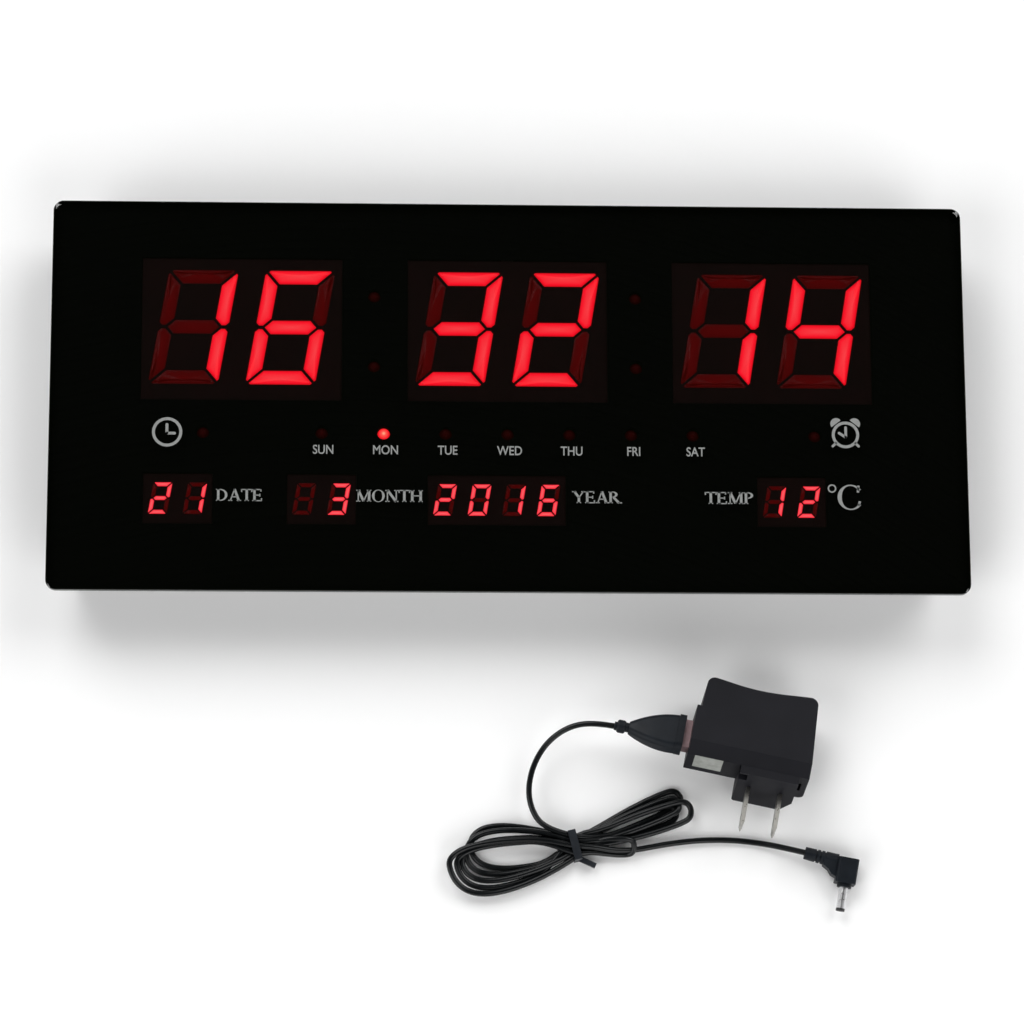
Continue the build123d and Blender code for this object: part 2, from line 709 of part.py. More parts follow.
def adapter_block():
    """The block that carries the blades, standing proud of the front and below the body."""
    width, depth, height = PLUG_BLOCK
    middle = PLUG_BLOCK_FRONT + depth / 2
    body = block(PLUG_BLOCK_X, middle, -BLOCK_DROP, width, depth, height + BLOCK_DROP)
    right = body.edges().filter_by(Axis.Y).sort_by(Axis.X)[-2:].sort_by(Axis.Z)[0]
    body = chamfer(right, 7.5, 4.0)
    left = body.edges().filter_by(Axis.Y).sort_by(Axis.X)[:2].sort_by(Axis.Z)[0]
    return fillet(left, 1.2)


def adapter_form():
    """The adapter's filled outer shape."""
    body = extrude(adapter_plan(0), ADAPTER_T)
    front_top = body.faces().sort_by(Axis.Y)[0].edges().sort_by(Axis.Z)[-1]
    body = chamfer(front_top, ADAPTER_BEVEL)
    uprights = body.edges().filter_by(Axis.Z).sort_by(Axis.Y)[-2:]
    body = fillet(uprights, ADAPTER_ROUND)
    right_foot = body.faces().sort_by(Axis.Z)[0].edges().sort_by(Axis.X)[-1]
    body = fillet(right_foot, FOOT_ROUND)
    label_w = PLUG_BLOCK_X - PLUG_BLOCK[0] / 2 + ADAPTER_FRONT_W / 2
    label_x = -ADAPTER_FRONT_W / 2 + label_w / 2 - 1
    body -= block(label_x, -ADAPTER_D / 2, -1, label_w + 2, 2 * LABEL_SINK, ADAPTER_T - ADAPTER_BEVEL + 1)
    return body + adapter_block()


def adapter_cavity():
    """The space inside the adapter, behind its seam."""
    space = Pos(0, 0, ADAPTER_WALL) * extrude(adapter_plan(ADAPTER_WALL), ADAPTER_T - 2 * ADAPTER_WALL)
    depth = 2 * (ADAPTER_D + ADAPTER_SEAM_Y + ADAPTER_WALL)
    return space - block(0, -ADAPTER_D, -ADAPTER_T, 3 * ADAPTER_D, depth, 3 * ADAPTER_T)


def adapter_half(front):
    """One side of the seam: the front plate with the plug block, or the rear cap."""
    far = 3 * ADAPTER_D
    centre = ADAPTER_SEAM_Y + (-far / 2 if front else far / 2)
    return adapter_form() & block(0, centre, -ADAPTER_T, far, far, 3 * ADAPTER_T)


def usb_opening():
    """Opening in the left side for the USB plug's shell."""
    room = 4 * USB_GAP
    return Pos(USB_SIDE_X, USB_Y, USB_Z) * Box(10, USB_SHELL[1] + room, USB_SHELL[2] + room)


def adapter_shell():
    """The cap that covers the electronics."""
    width = ADAPTER_FRONT_W - 2 * ADAPTER_WALL - 2
    seam_room = block(0, ADAPTER_SEAM_Y, ADAPTER_WALL, width, *SEAM_ROOM)
    return adapter_half(False) - adapter_cavity() - seam_room - usb_opening()


def blades():
    """Two flat parallel blades with tapered tips and a hole near each end."""
    thick, width, length = BLADE
    taper, point = BLADE_TAPER
    half = thick / 2
    root = PLUG_BLOCK_FRONT + BLADE_ROOT
    tip = PLUG_BLOCK_FRONT - length
    right = [(half, root), (half, tip + taper), (point, tip)]
    left = [(-x, y) for x, y in reversed(right)]
    profile = Pos(0, 0, BLADE_Z - width / 2) * make_face(Polyline(*right, *left, close=True))
    hole = Pos(0, tip + BLADE_HOLE_BACK, BLADE_Z) * Rot(0, 90, 0) * Cylinder(BLADE_HOLE_R, 2 * thick)
    blade = extrude(profile, width) - hole
    return [Pos(BLADE_X + side * BLADE_SPACING, 0, 0) * blade for side in (-0.5, 0.5)]


def adapter_base(pair):
    """The front plate and plug block, slotted for the blades, with a latch notch at each side."""
    middle = PLUG_BLOCK_FRONT - 1 + NOTCH_D / 2
    notches = [block(x, middle, z, width, NOTCH_D, height) for x, z, width, height in NOTCHES]
    return adapter_half(True) - pair - notches


def adapter_board():
    """The adapter's own circuit board, standing along the body."""
    return block(0, INNER_BOARD_Y, ADAPTER_WALL + INNER_BOARD_LIFT, *INNER_BOARD)


def adapter_components():
    """Transformer and two capacitors on the adapter's board."""
    base = ADAPTER_WALL + INNER_BOARD_LIFT + INNER_BOARD[2]
    transformer = block(TRANSFORMER_X, INNER_BOARD_Y, base, *TRANSFORMER)
    return [transformer] + [disc(x, y, base, *CAPACITOR) for x, y in CAPACITOR_PLACES]


def usb_socket():
    """A USB type A socket with its contact tongue."""
    width, height = USB_SHELL[1] + 2 * USB_GAP, USB_SHELL[2] + 2 * USB_GAP
    front = USB_SIDE_X + ADAPTER_WALL + SOCKET_BACK
    depth = USB_INSERTED - ADAPTER_WALL + 2 * SOCKET_BACK
    middle = front + depth / 2
    body = Pos(middle, USB_Y, USB_Z) * Box(depth, width + 2 * SOCKET_WALL, height + 2 * SOCKET_WALL)
    cavity = Pos(middle - 1.0, USB_Y, USB_Z) * Box(depth, width, height)
    tongue_w, tongue_t, tongue_z = USB_TONGUE
    tongue = Pos(middle + 0.6, USB_Y, USB_Z + tongue_z) * Box(depth - 1.2, tongue_w, tongue_t)
    return body - cavity + tongue


def adapter_label():
    """A small pale sticker in the recess beside the plug block."""
    y = -ADAPTER_D / 2 + LABEL_SINK - ADAPTER_LABEL[1] / 2
    return Pos(ADAPTER_LABEL_PLACE[0], y, ADAPTER_LABEL_PLACE[1]) * Box(*ADAPTER_LABEL)


# ---- Plug on the USB end of the lead ----
def usb_plug_shell():
    """The plug's folded metal shell."""
    length, width, height = USB_SHELL
    window, spread, back = USB_WINDOW
    x = USB_SIDE_X + USB_INSERTED - length / 2
    outside = Box(length, width, height)
    inside = Box(length + 1, width - 2 * USB_SHELL_T, height - 2 * USB_SHELL_T)
    places = [Pos(length / 2 - back, side * spread, height / 2) for side in (-1, 1)]
    return Pos(x, USB_Y, USB_Z) * (outside - inside - [place * Box(window, window, 2) for place in places])


def usb_plug_insulator():
    """The contact block in the upper half of the plug's shell."""
    length, width, height = USB_SHELL
    x = USB_SIDE_X + USB_INSERTED - length / 2 - 0.5
    room = height / 2 - USB_SHELL_T
    core = Box(length - 1, width - 2 * USB_SHELL_T - EPS, room - 0.42)
    return Pos(x, USB_Y, USB_Z + room / 2 + 0.2) * core


def hood_plane(distance):
    """Section plane of the hood, which sags a little towards its cord end."""
    x = USB_SIDE_X - HOOD_GAP - distance
    y = USB_Y + HOOD_BEND[0] * distance
    z = USB_Z + HOOD_BEND[1] * distance
    return Plane(origin=(x, y, z), x_dir=(0, 1, 0), z_dir=(-1, 0, 0))


def hood_stub(start, end, radius):
    """A round length of the hood between two distances."""
    return extrude(hood_plane(start) * Circle(radius), end - start)


def usb_plug_hood():
    """The overmoulded grip: a wide tapered body, a collar and a strain-relief knob."""
    sections = [hood_plane(d) * RectangleRounded(w, h, HOOD_ROUND) for d, w, h in HOOD_SECTIONS]
    collar_w, collar_h, collar_l = HOOD_COLLAR
    collar = extrude(hood_plane(0) * RectangleRounded(collar_w, collar_h, HOOD_ROUND), collar_l)
    knob_start, knob_end, knob_r = HOOD_KNOB
    neck_start, neck_r = HOOD_NECK
    knob = hood_stub(knob_start, knob_end, knob_r)
    knob = fillet(knob.edges().filter_by(GeomType.CIRCLE), knob_r / 3)
    stubs = hood_stub(neck_start, knob_start + 1, neck_r) + knob
    stubs += hood_stub(knob_end - 0.5, HOOD_END, HOOD_END_R)
    depth = USB_SHELL[0] - USB_INSERTED - HOOD_GAP
    socket = Pos(USB_SIDE_X - HOOD_GAP, USB_Y, USB_Z) * Box(2 * depth, *USB_SHELL[1:])
    return loft(sections) + collar + stubs - socket


# ---- Cord ----
def route_wire(points, label):
    """Straight runs joined by tangent arcs as large as the runs allow."""
    corners = [Vector(*p) for p in points]
    radii = []
    for before, here, after in zip(corners, corners[1:], corners[2:]):
        run_in = here - before
        run_out = after - here
        half_turn = math.radians(run_in.get_angle(run_out)) / 2
        radii.append(0.45 * min(run_in.length, run_out.length) / math.tan(half_turn))
    print(label, "radii", [round(r, 1) for r in radii])
    return FilletPolyline(*points, radius=radii)


def cord_tube(points, label):
    """A round tube along the route; its volume is printed beside section times length."""
    wire = route_wire(points, label)
    start = Plane(origin=wire @ 0, z_dir=wire % 0)
    tube = sweep(start * Circle(CORD_D / 2), path=wire)
    ideal = math.pi * (CORD_D / 2) ** 2 * wire.length
    print(label, "length", round(wire.length, 1), "volume", round(tube.volume, 1), "of", round(ideal, 1))
    return tube


def hank_loop(loop):
    """One flat lobe of the hank."""
    x, y, radius_x, radius_y, turn = loop
    return Pos(x, y, 0) * Rot(0, 0, turn) * extrude(Ellipse(radius_x, radius_y), HANK_H)


def in_neck(shape):
    """Moves a piece to the waist of the hank, turned along it."""
    return Pos(NECK[0], NECK[1], 0) * Rot(0, 0, NECK[4]) * shape


def cord_tie():
    """A twist tie round the waist, with its twisted ends to one side."""
    length, width, height, thick = TIE
    band = block(0, 0, 0, length, width, height)
    band -= block(0, 0, thick, length + 1, width - 2 * thick, height - 2 * thick)
    tail = Pos(*TIE_TAIL_PLACE) * Rot(0, 0, TIE_TAIL_TURN_DEG) * Box(*TIE_TAIL)
    return in_neck(band + tail)


def cord_hank(tie):
    """The outer shape of the tied figure-of-eight hank."""
    neck = in_neck(block(0, 0, 0, NECK[2], NECK[3], HANK_H))
    lobes = [hank_loop(loop) for loop in (LEFT_LOOP, UPPER_LOOP, RIGHT_LOOP, SMALL_LOOP)]
    return neck + lobes - tie


# ---- Plug on the clock end of the lead ----
def in_barrel(shape):
    """Moves a piece from the plug's own frame to where it lies."""
    return Pos(*BARREL_PLACE) * Rot(0, 0, BARREL_YAW_DEG) * shape


def relief_disc(share, radius):
    """A cross-section of the strain relief at this share of its length."""
    tail = Vector(RELIEF_END[0], RELIEF_END[1], 0)
    root = Vector(RELIEF_ROOT[0], RELIEF_ROOT[1], 0)
    return Plane(origin=tail + (root - tail) * share, z_dir=root - tail) * Circle(radius)


def relief_groove(share):
    """A ring cut round the strain relief at this share of its length."""
    small, large = RELIEF_R
    radius = small + (large - small) * share
    width = 0.05 * math.dist(RELIEF_END, RELIEF_ROOT)
    outside = extrude(relief_disc(share, radius + 1), width)
    return outside - extrude(relief_disc(share, radius - GROOVE_DEPTH), width)


def relief_web():
    """The web that runs from under the strain relief into the side of the block."""
    half = BARREL_BLOCK[0] / 2
    top = BARREL_BLOCK[1]
    outline = Polyline(*WEB_EDGE, (-half, top), (0, top), (0, WEB_EDGE[0][1]), close=True)
    return Pos(0, 0, -WEB_H / 2) * extrude(make_face(outline), WEB_H)


def barrel_plug_hood():
    """The right-angle overmould: a square block, a web and a ribbed strain relief."""
    width, length, height = BARREL_BLOCK
    body = Pos(0, length / 2, 0) * Box(width, length, height)
    body = fillet(body.edges().filter_by(Axis.Y), 1.0)
    nose_r, nose_l = BARREL_NOSE
    nose = Pos(0, -nose_l / 2, 0) * Rot(90, 0, 0) * Cylinder(nose_r, nose_l)
    relief = loft([relief_disc(0, RELIEF_R[0]), relief_disc(1, RELIEF_R[1])])
    relief -= [relief_groove(0.32 + 0.13 * i) for i in range(RELIEF_GROOVES)]
    socket = Rot(90, 0, 0) * Cylinder(BARREL_R, 2 * BARREL_ROOT)
    return in_barrel(body + nose + relief + relief_web() - socket)


def barrel_piece(radius, start, end):
    """A round length of the plug between two places along it, positive inside the block."""
    return Pos(0, (start + end) / 2, 0) * Rot(90, 0, 0) * Cylinder(radius, start - end)


def barrel_plug_sleeve():
    """The plug's metal sleeve, round its insulating liner."""
    end = -(BARREL_LENGTH - BARREL_TIP_L)
    sleeve = barrel_piece(BARREL_R, BARREL_ROOT, end) - barrel_piece(BARREL_LINER_R, BARREL_ROOT, end)
    return in_barrel(sleeve)


def barrel_plug_tip():
    """The insulating liner and black tip ring, bored for the centre pin of the jack."""
    end = -(BARREL_LENGTH - BARREL_TIP_L)
    liner = barrel_piece(BARREL_LINER_R, BARREL_ROOT, end) + barrel_piece(BARREL_R, end, -BARREL_LENGTH)
    bore = barrel_piece(BARREL_BORE_R, -1.0, -BARREL_LENGTH - 1)
    return in_barrel(liner - bore)


# ---- Whole object ----
def write_displays():
    """Writes every display and returns the pins they share."""
    pins = []
    for name, (style, x, y, count) in DISPLAYS.items():
        bars = display_segments(style, x, y, count)
        save(f"{name}_display_housing", [display_housing(style, x, y, count, bars)])
        save(f"{name}_display_segments", bars)
        pins += display_pins(style, x, y, count)
    save("display_pins", pins)
    return pins


def write_leds():
    """Writes the LEDs and returns the legs they share."""
    groups = {"colon": colon_points(), "weekday": weekday_points(), "indicator": indicator_points()}
    legs = []
    for name, points in groups.items():
        save(f"{name}_leds", [led(x, y) for x, y in points])
        for x, y in points:
            legs += led_legs(x, y)
    save("led_legs", legs)
    return legs


def write_board(drilled):
    """Writes the board and every piece mounted on it."""
    save("main_board", [main_board(drilled)])
    save("board_screws", [board_screw(x, y) for x, y in screw_points()])
    save("microcontroller", [chip(*MICROCONTROLLER_PLACE, *MICROCONTROLLER)])
    save("driver_chips", [chip(x, DRIVER_Y, *DRIVER_CHIP) for x in DRIVER_X])
    save("clock_crystal", [crystal()])
    save("digit_transistors", [under_block(-70 + 9 * i, -20.0, *TRANSISTOR) for i in range(16)])
    save("segment_resistors", [under_block(-60 + 5 * i, 40.0, *RESISTOR) for i in range(8)])
    save("alarm_buzzer", [buzzer()])
    save("thermistor", [thermistor()])
    save("dc_jack", [dc_jack()])
    save("coin_cell_holder", [coin_cell_holder()])
    save("coin_cell", [coin_cell()])
    save("button_switches", [button_switch(x) for x in BUTTON_X.values()])


def write_clock():
    """Writes the clock's casing, front, board and controls."""
    save("front_panel", [front_panel()])
    save("panel_mask", [panel_mask()])
    save("panel_tape", [panel_tape()])
    save("rear_case", [rear_case()])
    save("rating_label", [block(0, LABEL_Y, 0.1, LABEL[0], LABEL[1], LABEL[2] - 0.1)])
    write_board(write_displays() + write_leds())
    for name, x in BUTTON_X.items():
        save(f"{name}_button", [push_button(x)])
    save("alarm_switch_body", [alarm_switch_body()])
    save("alarm_switch_knob", [alarm_switch_knob()])
    save("battery_cover", [battery_cover()])


def write_adapter():
    """Writes the mains adapter."""
    pair = blades()
    pieces = {
        "adapter_shell": [adapter_shell()],
        "adapter_base": [adapter_base(pair)],
        "mains_blades": pair,
        "usb_socket": [usb_socket()],
        "adapter_board": [adapter_board()],
        "adapter_components": adapter_components(),
        "adapter_label": [adapter_label()],
    }
    for name, shapes in pieces.items():
        save(name, [in_adapter(shape) for shape in shapes])


def write_lead():
    """Writes the power lead with both of its plugs."""
    save("usb_plug_shell", [in_adapter(usb_plug_shell())])
    save("usb_plug_insulator", [in_adapter(usb_plug_insulator())])
    save("usb_plug_hood", [in_adapter(usb_plug_hood())])
    save("cord_usb_lead", [cord_tube(USB_ROUTE, "cord_usb_lead")])
    save("cord_plug_lead", [cord_tube(PLUG_ROUTE, "cord_plug_lead")])
    tie = cord_tie()
    save("cord_tie", [tie])
    save("cord_hank", [cord_hank(tie)])
    save("barrel_plug_hood", [barrel_plug_hood()])
    save("barrel_plug_sleeve", [barrel_plug_sleeve()])
    save("barrel_plug_tip", [barrel_plug_tip()])


os.makedirs("parts", exist_ok=True)
write_clock()
write_adapter()
write_lead()
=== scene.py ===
"""The looks of an LED calendar wall clock, with its tied power lead and its mains adapter."""

import math

import bmesh
import bpy
import numpy
from mathutils import Matrix, Vector


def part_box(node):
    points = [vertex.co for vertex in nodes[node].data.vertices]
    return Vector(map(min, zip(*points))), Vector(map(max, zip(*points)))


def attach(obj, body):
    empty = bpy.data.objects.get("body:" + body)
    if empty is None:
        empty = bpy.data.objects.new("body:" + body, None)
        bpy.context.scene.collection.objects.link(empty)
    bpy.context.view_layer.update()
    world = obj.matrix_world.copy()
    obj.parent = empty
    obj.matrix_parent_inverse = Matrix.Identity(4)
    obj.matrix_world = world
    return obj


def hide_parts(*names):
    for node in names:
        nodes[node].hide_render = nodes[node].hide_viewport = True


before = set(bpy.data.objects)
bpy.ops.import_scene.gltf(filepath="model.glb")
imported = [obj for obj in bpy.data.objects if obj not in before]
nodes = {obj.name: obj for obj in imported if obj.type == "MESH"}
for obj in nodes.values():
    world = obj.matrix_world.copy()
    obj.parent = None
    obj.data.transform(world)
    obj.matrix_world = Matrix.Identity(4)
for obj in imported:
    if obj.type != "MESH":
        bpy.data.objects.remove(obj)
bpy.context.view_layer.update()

MM = 0.001

# ---- Camera, fitted to the corners of the clock's front ----
CAMERA_PLACE = (-0.0676, -0.3986, 1.5474)
CAMERA_AZIMUTH = -10.98
CAMERA_ELEVATION = 76.71
CAMERA_ROLL = 11.05
CAMERA_LENS = 140.6
CAMERA_REACH = 60

# ---- Studio: each light's azimuth, elevation and strength, and the sky's brightness by height ----
LIGHTS = ((120, 42, 1.5), (215, 38, 1.2), (40, 40, 1.2), (300, 36, 1.0))
LIGHT_SPREAD_DEG = 40
SKY = ((0.25, 1.0), (0.62, 0.02))
FLOOR_REACH = 12.0
FLOOR_CELLS = 8

# ---- What the clock reads ----
READINGS = {
    "hours": "16",
    "minutes": "32",
    "seconds": "14",
    "date": "21",
    "month": " 3",
    "year": "2016",
    "temperature": "12",
}
LIT_BARS = {
    " ": "",
    "0": "abcdef",
    "1": "bc",
    "2": "abged",
    "3": "abgcd",
    "4": "fgbc",
    "5": "afgcd",
    "6": "acdefg",
    "7": "abc",
    "8": "abcdefg",
    "9": "abcdfg",
}
SLANT_DEG = 9.5
BARS_A_DIGIT = 7
BIG_DIGIT_H = 30
WEEKDAYS = ("SUN", "MON", "TUE", "WED", "THU", "FRI", "SAT")
TODAY = "MON"

# ---- Smoked sheet: its darkness, and how far from the centre it is clear, in millimetres ----
SMOKE = 0.45
CLEAR_AREA = {"X": 179.2, "Y": 77.7}

# ---- Lights and printed symbols on the panel, in millimetres ----
LED_R = 2.5
WEEKDAY_X = -0.8
WEEKDAY_STEP = 24.3
LED_ROW_Y = -14.7
COLON_X = (-53.3, 50.0)
COLON_Y = (41.0, 12.5)
INDICATOR_X = (-120.1, 120.2)
WEEKDAY_TEXT_SHIFT = 0.7
WEEKDAY_TEXT_Y = -22.0
WEEKDAY_TEXT_H = 3.7
WEEKDAY_TEXT_NARROW = 0.84
WEEKDAY_TEXT_BOLD = 0.06
CAPITAL_SHARE = 0.72
WORD_H = 4.75
WORD_Y = -43.0
WORDS = {"DATE": (-114.5, -96.3), "MONTH": (-60.1, -34.0), "YEAR": (24.5, 43.3), "TEMP": (76.2, 95.5)}
CLOCK_SYMBOL = (-133.9, -15.5)
CLOCK_RING = (5.9, 1.15)
CLOCK_HAND_W = 1.1
CLOCK_PIVOT = (-0.1, -0.5)
CLOCK_HANDS = ((-0.1, 3.0), (2.9, -0.5))
ALARM_SYMBOL = (132.0, -14.8)
ALARM_RING = (5.4, 1.15)
ALARM_HAND_W = 1.05
ALARM_PIVOT = (0.1, -1.0)
ALARM_HANDS = ((0.1, 3.0), (-2.5, 0.7))
ALARM_BELL = (3.6, 4.5)
ALARM_BELL_R = 2.3
ALARM_BELL_LEAN_DEG = 38
ALARM_FOOT = ((3.9, -3.4), (5.1, -4.6))
ALARM_FOOT_W = 1.0
DEGREE_SYMBOL = (126.2, -36.5)
DEGREE_RING = (1.7, 0.55)
CELSIUS = (128.1, 137.5, -44.9, 9.8)
INK_T = 0.03
# Serif letters: widths of the thick and thin strokes, and half a serif's length, in letter units.
STEM = 0.175
HAIR = 0.085
SERIF = 0.15

# ---- Cord, in millimetres ----
CORD_D = 2.3
USB_ROUTE = [
    (40.9, -128.5, 14.6),
    (32.0, -126.9, 14.2),
    (22.6, -128.6, 12.2),
    (14.4, -134.6, 9.0),
    (9.2, -143.6, 5.6),
    (7.4, -153.0, 3.2),
    (9.0, -160.8, 3.4),
    (13.2, -166.6, 5.2),
]
PLUG_ROUTE = [
    (49.5, -175.4, 1.6),
    (57.0, -173.8, 1.3),
    (66.5, -172.2, 1.2),
    (76.5, -171.2, 1.2),
    (88.0, -171.2, 1.2),
    (98.0, -172.3, 1.4),
    (106.5, -174.0, 2.6),
    (115.7, -176.4, 4.0),
]
LEAVING_TIE = [(33.5, -174.7, 4.8), (41.5, -175.9, 3.0)]
NECK = (25.7, -174.0)
NECK_TURN_DEG = 13.0
NECK_REACH = 10.0
TURN_POINTS = 24
# Each turn of the hank goes round a right and then a left lobe. A lobe has its reach from the tie,
# its half-width, the direction of its middle line in degrees, and how far it bows sideways.
TURNS = [
    ((46.6, 3.6, 25.6, 0.6), (40.8, 8.5, -1.0, -0.6)),
    ((42.6, 3.6, 19.2, 0.0), (42.6, 8.6, 4.6, -0.2)),
    ((44.6, 3.6, 22.6, 0.0), (44.6, 8.0, 9.0, -0.8)),
    ((48.2, 4.4, 18.2, -0.4), (46.9, 8.3, 9.2, -3.0)),
    ((23.4, 2.9, -1.0, 0.0), (49.8, 9.9, 9.0, -3.7)),
]
# How full a lobe is towards the tie and towards its tip, first for the right lobes: less is fuller.
FULLNESS = ((0.55, 0.3), (0.5, 0.95))
# Where each pass through the tie lies: across it, and above the floor.
PASSES = [
    (3.6, 6.4), (2.3, 1.2), (4.0, 3.4), (0.2, 1.2), (1.2, 3.6), (-2.2, 1.2),
    (-1.0, 3.6), (4.2, 1.2), (-3.4, 3.6), (-4.2, 1.2), (-0.4, 6.0),
]
TURN_LIFT = 0.2
# How the strands settle: how often, how much of each push and each kink they give way to, and how
# far they sink in each round.
SETTLE_ROUNDS = 160
SETTLE_PUSH = 0.9
SETTLE_SMOOTH = 0.12
SETTLE_SINK = 0.01


# ---- Materials ----
NOISE_SPAN = (0.3, 0.7)
# Unlit bars get a weak painted red glow, standing in for light of the lit bars leaking into them.
UNLIT_BAR_PAINTED_GLOW = [(0.0, (0.25, 0.0, 0.0)), (1.0, (1.0, 0.0, 0.004))]
BIG_GLOW = [(0.0, (0.62, 0.0, 0.005)), (0.45, (1.0, 0.006, 0.022)), (1.0, (1.0, 0.055, 0.066))]
SMALL_GLOW = [(0.0, (0.75, 0.004, 0.018)), (0.4, (1.0, 0.04, 0.065)), (1.0, (1.0, 0.14, 0.15))]
LED_GLOW = [
    (0.0, (1.0, 0.42, 0.25)),
    (0.35, (1.0, 0.09, 0.07)),
    (0.8, (0.9, 0.01, 0.02)),
    (1.0, (0.4, 0.0, 0.0)),
]
# Unlit LEDs get a weak painted red glow, strongest at their centres.
UNLIT_LED_PAINTED_GLOW = [(0.0, (1.0, 0.0, 0.01)), (1.0, (0.3, 0.0, 0.003))]
# Moulded plastics: dark and light shade, roughness from and to, gloss, and size and depth of grain.
PLASTICS = {
    "mask_print": ((0.0006, 0.0010, 0.0003), (0.0009, 0.0014, 0.0005), (0.6, 0.7), 0.08, 2, 0.002),
    "case_plastic": ((0.008, 0.008, 0.009), (0.012, 0.012, 0.013), (0.42, 0.58), 0.4),
    # The display bodies are dark; their red tint is painted glow, standing in for the bars' red light
    # scattered inside the modules.
    "display_body": ((0.018, 0.0002, 0.0008), (0.026, 0.0004, 0.0012), (0.5, 0.65), 0.3),
    "chip_epoxy": ((0.010, 0.010, 0.012), (0.022, 0.022, 0.025), (0.5, 0.7), 0.5, 0.2),
    "black_plastic": ((0.010, 0.010, 0.011), (0.017, 0.017, 0.018), (0.35, 0.5)),
    "knob_plastic": ((0.07, 0.012, 0.014), (0.11, 0.02, 0.022), (0.4, 0.5)),
    "adapter_plastic": ((0.0052, 0.0054, 0.0076), (0.0076, 0.0078, 0.0108), (0.45, 0.56), 0.13),
    "contact_white": ((0.7, 0.7, 0.7), (0.8, 0.8, 0.8), (0.4, 0.5)),
}
# Flexible PVC: dark and light shade, roughness from and to, and gloss.
VINYLS = {
    "plug_pvc": ((0.0052, 0.0070, 0.0098), (0.0078, 0.0104, 0.0142), (0.38, 0.5), 0.16),
    "cord_pvc": ((0.0026, 0.0032, 0.0036), (0.0044, 0.0054, 0.0060), (0.2, 0.28), 0.26),
    "tie_pvc": ((0.006, 0.008, 0.011), (0.010, 0.013, 0.018), (0.4, 0.5), 0.3),
}
# Plated metals: colour and roughness.
METALS = {
    "tinned_wire": ((0.7, 0.69, 0.66), 0.35),
    "screw_steel": ((0.55, 0.55, 0.56), 0.35),
    "cell_steel": ((0.72, 0.72, 0.73), 0.3),
    "blade_nickel": ((0.40, 0.39, 0.36), 0.3),
    "usb_plating": ((0.36, 0.25, 0.26), 0.4),
}


def new_material(name, base, roughness, metallic=0.0, **sockets):
    """A Principled material whose even values sit on the shader's own sockets."""
    made = bpy.data.materials.new(name)
    made.use_nodes = True
    shader = made.node_tree.nodes["Principled BSDF"]
    shader.inputs["Base Color"].default_value = (*base, 1)
    shader.inputs["Roughness"].default_value = roughness
    shader.inputs["Metallic"].default_value = metallic
    for socket, value in sockets.items():
        shader.inputs[socket.replace("_", " ")].default_value = value
    return made


def shader_of(made):
    return made.node_tree.nodes["Principled BSDF"]


def object_place(made):
    """Object coordinates, in metres."""
    return made.node_tree.nodes.new("ShaderNodeTexCoord").outputs["Object"]


def noise(made, size_mm, detail):
    """Noise whose blobs are about this size."""
    tree = made.node_tree
    node = tree.nodes.new("ShaderNodeTexNoise")
    node.inputs["Scale"].default_value = 1 / (size_mm * MM)
    node.inputs["Detail"].default_value = detail
    tree.links.new(object_place(made), node.inputs["Vector"])
    return node.outputs["Fac"]


def ramp(made, value, stops):
    """Maps a value to colours, given as pairs of position and colour."""
    tree = made.node_tree
    node = tree.nodes.new("ShaderNodeValToRGB")
    elements = node.color_ramp.elements
    while len(elements) < len(stops):
        elements.new(0.5)
    for element, (position, colour) in zip(elements, stops):
        element.position = position
        element.color = (*colour, 1)
    tree.links.new(value, node.inputs["Fac"])
    return node.outputs["Color"]


def mottle(made, dark, light, size_mm, detail=3.0):
    """Slow variation of the base colour between two shades."""
    low, high = NOISE_SPAN
    colour = ramp(made, noise(made, size_mm, detail), [(low, dark), (high, light)])
    made.node_tree.links.new(colour, shader_of(made).inputs["Base Color"])


def uneven_gloss(made, smooth, rough, size_mm, detail=3.0):
    """Roughness that wanders between two values, as on handled plastic."""
    tree = made.node_tree
    node = tree.nodes.new("ShaderNodeMapRange")
    node.inputs["To Min"].default_value = smooth
    node.inputs["To Max"].default_value = rough
    node.inputs["From Min"].default_value, node.inputs["From Max"].default_value = NOISE_SPAN
    tree.links.new(noise(made, size_mm, detail), node.inputs["Value"])
    tree.links.new(node.outputs["Result"], shader_of(made).inputs["Roughness"])


def grain(made, size_mm, height_mm, detail=2.0, strength=1.0):
    """Bump on top of any bump the material already has."""
    tree = made.node_tree
    normal = shader_of(made).inputs["Normal"]
    node = tree.nodes.new("ShaderNodeBump")
    node.inputs["Strength"].default_value = strength
    node.inputs["Distance"].default_value = height_mm * MM
    tree.links.new(noise(made, size_mm, detail), node.inputs["Height"])
    if normal.is_linked:
        tree.links.new(normal.links[0].from_socket, node.inputs["Normal"])
    tree.links.new(node.outputs["Normal"], normal)


def calculate(made, operation, *values):
    """One Math node of this material; a value is a number or another node's output."""
    tree = made.node_tree
    node = tree.nodes.new("ShaderNodeMath")
    node.operation = operation
    for socket, value in zip(node.inputs, values):
        if isinstance(value, (int, float)):
            socket.default_value = value
        else:
            tree.links.new(value, socket)
    return node.outputs["Value"]


def smoked_acrylic():
    """Smoked sheet, see-through over the displays and black all along its edge."""
    made = new_material("smoked_acrylic", (0.0006, 0.001, 0.0003), 0.05, Specular_IOR_Level=0.22)
    uneven_gloss(made, 0.045, 0.065, 60)
    tree = made.node_tree
    place = tree.nodes.new("ShaderNodeSeparateXYZ")
    tree.links.new(object_place(made), place.inputs["Vector"])
    past = [
        calculate(made, "GREATER_THAN", calculate(made, "ABSOLUTE", place.outputs[axis]), half * MM)
        for axis, half in CLEAR_AREA.items()
    ]
    opaque = calculate(made, "MULTIPLY_ADD", calculate(made, "MAXIMUM", *past), 1 - SMOKE, SMOKE)
    tree.links.new(opaque, shader_of(made).inputs["Alpha"])
    return made


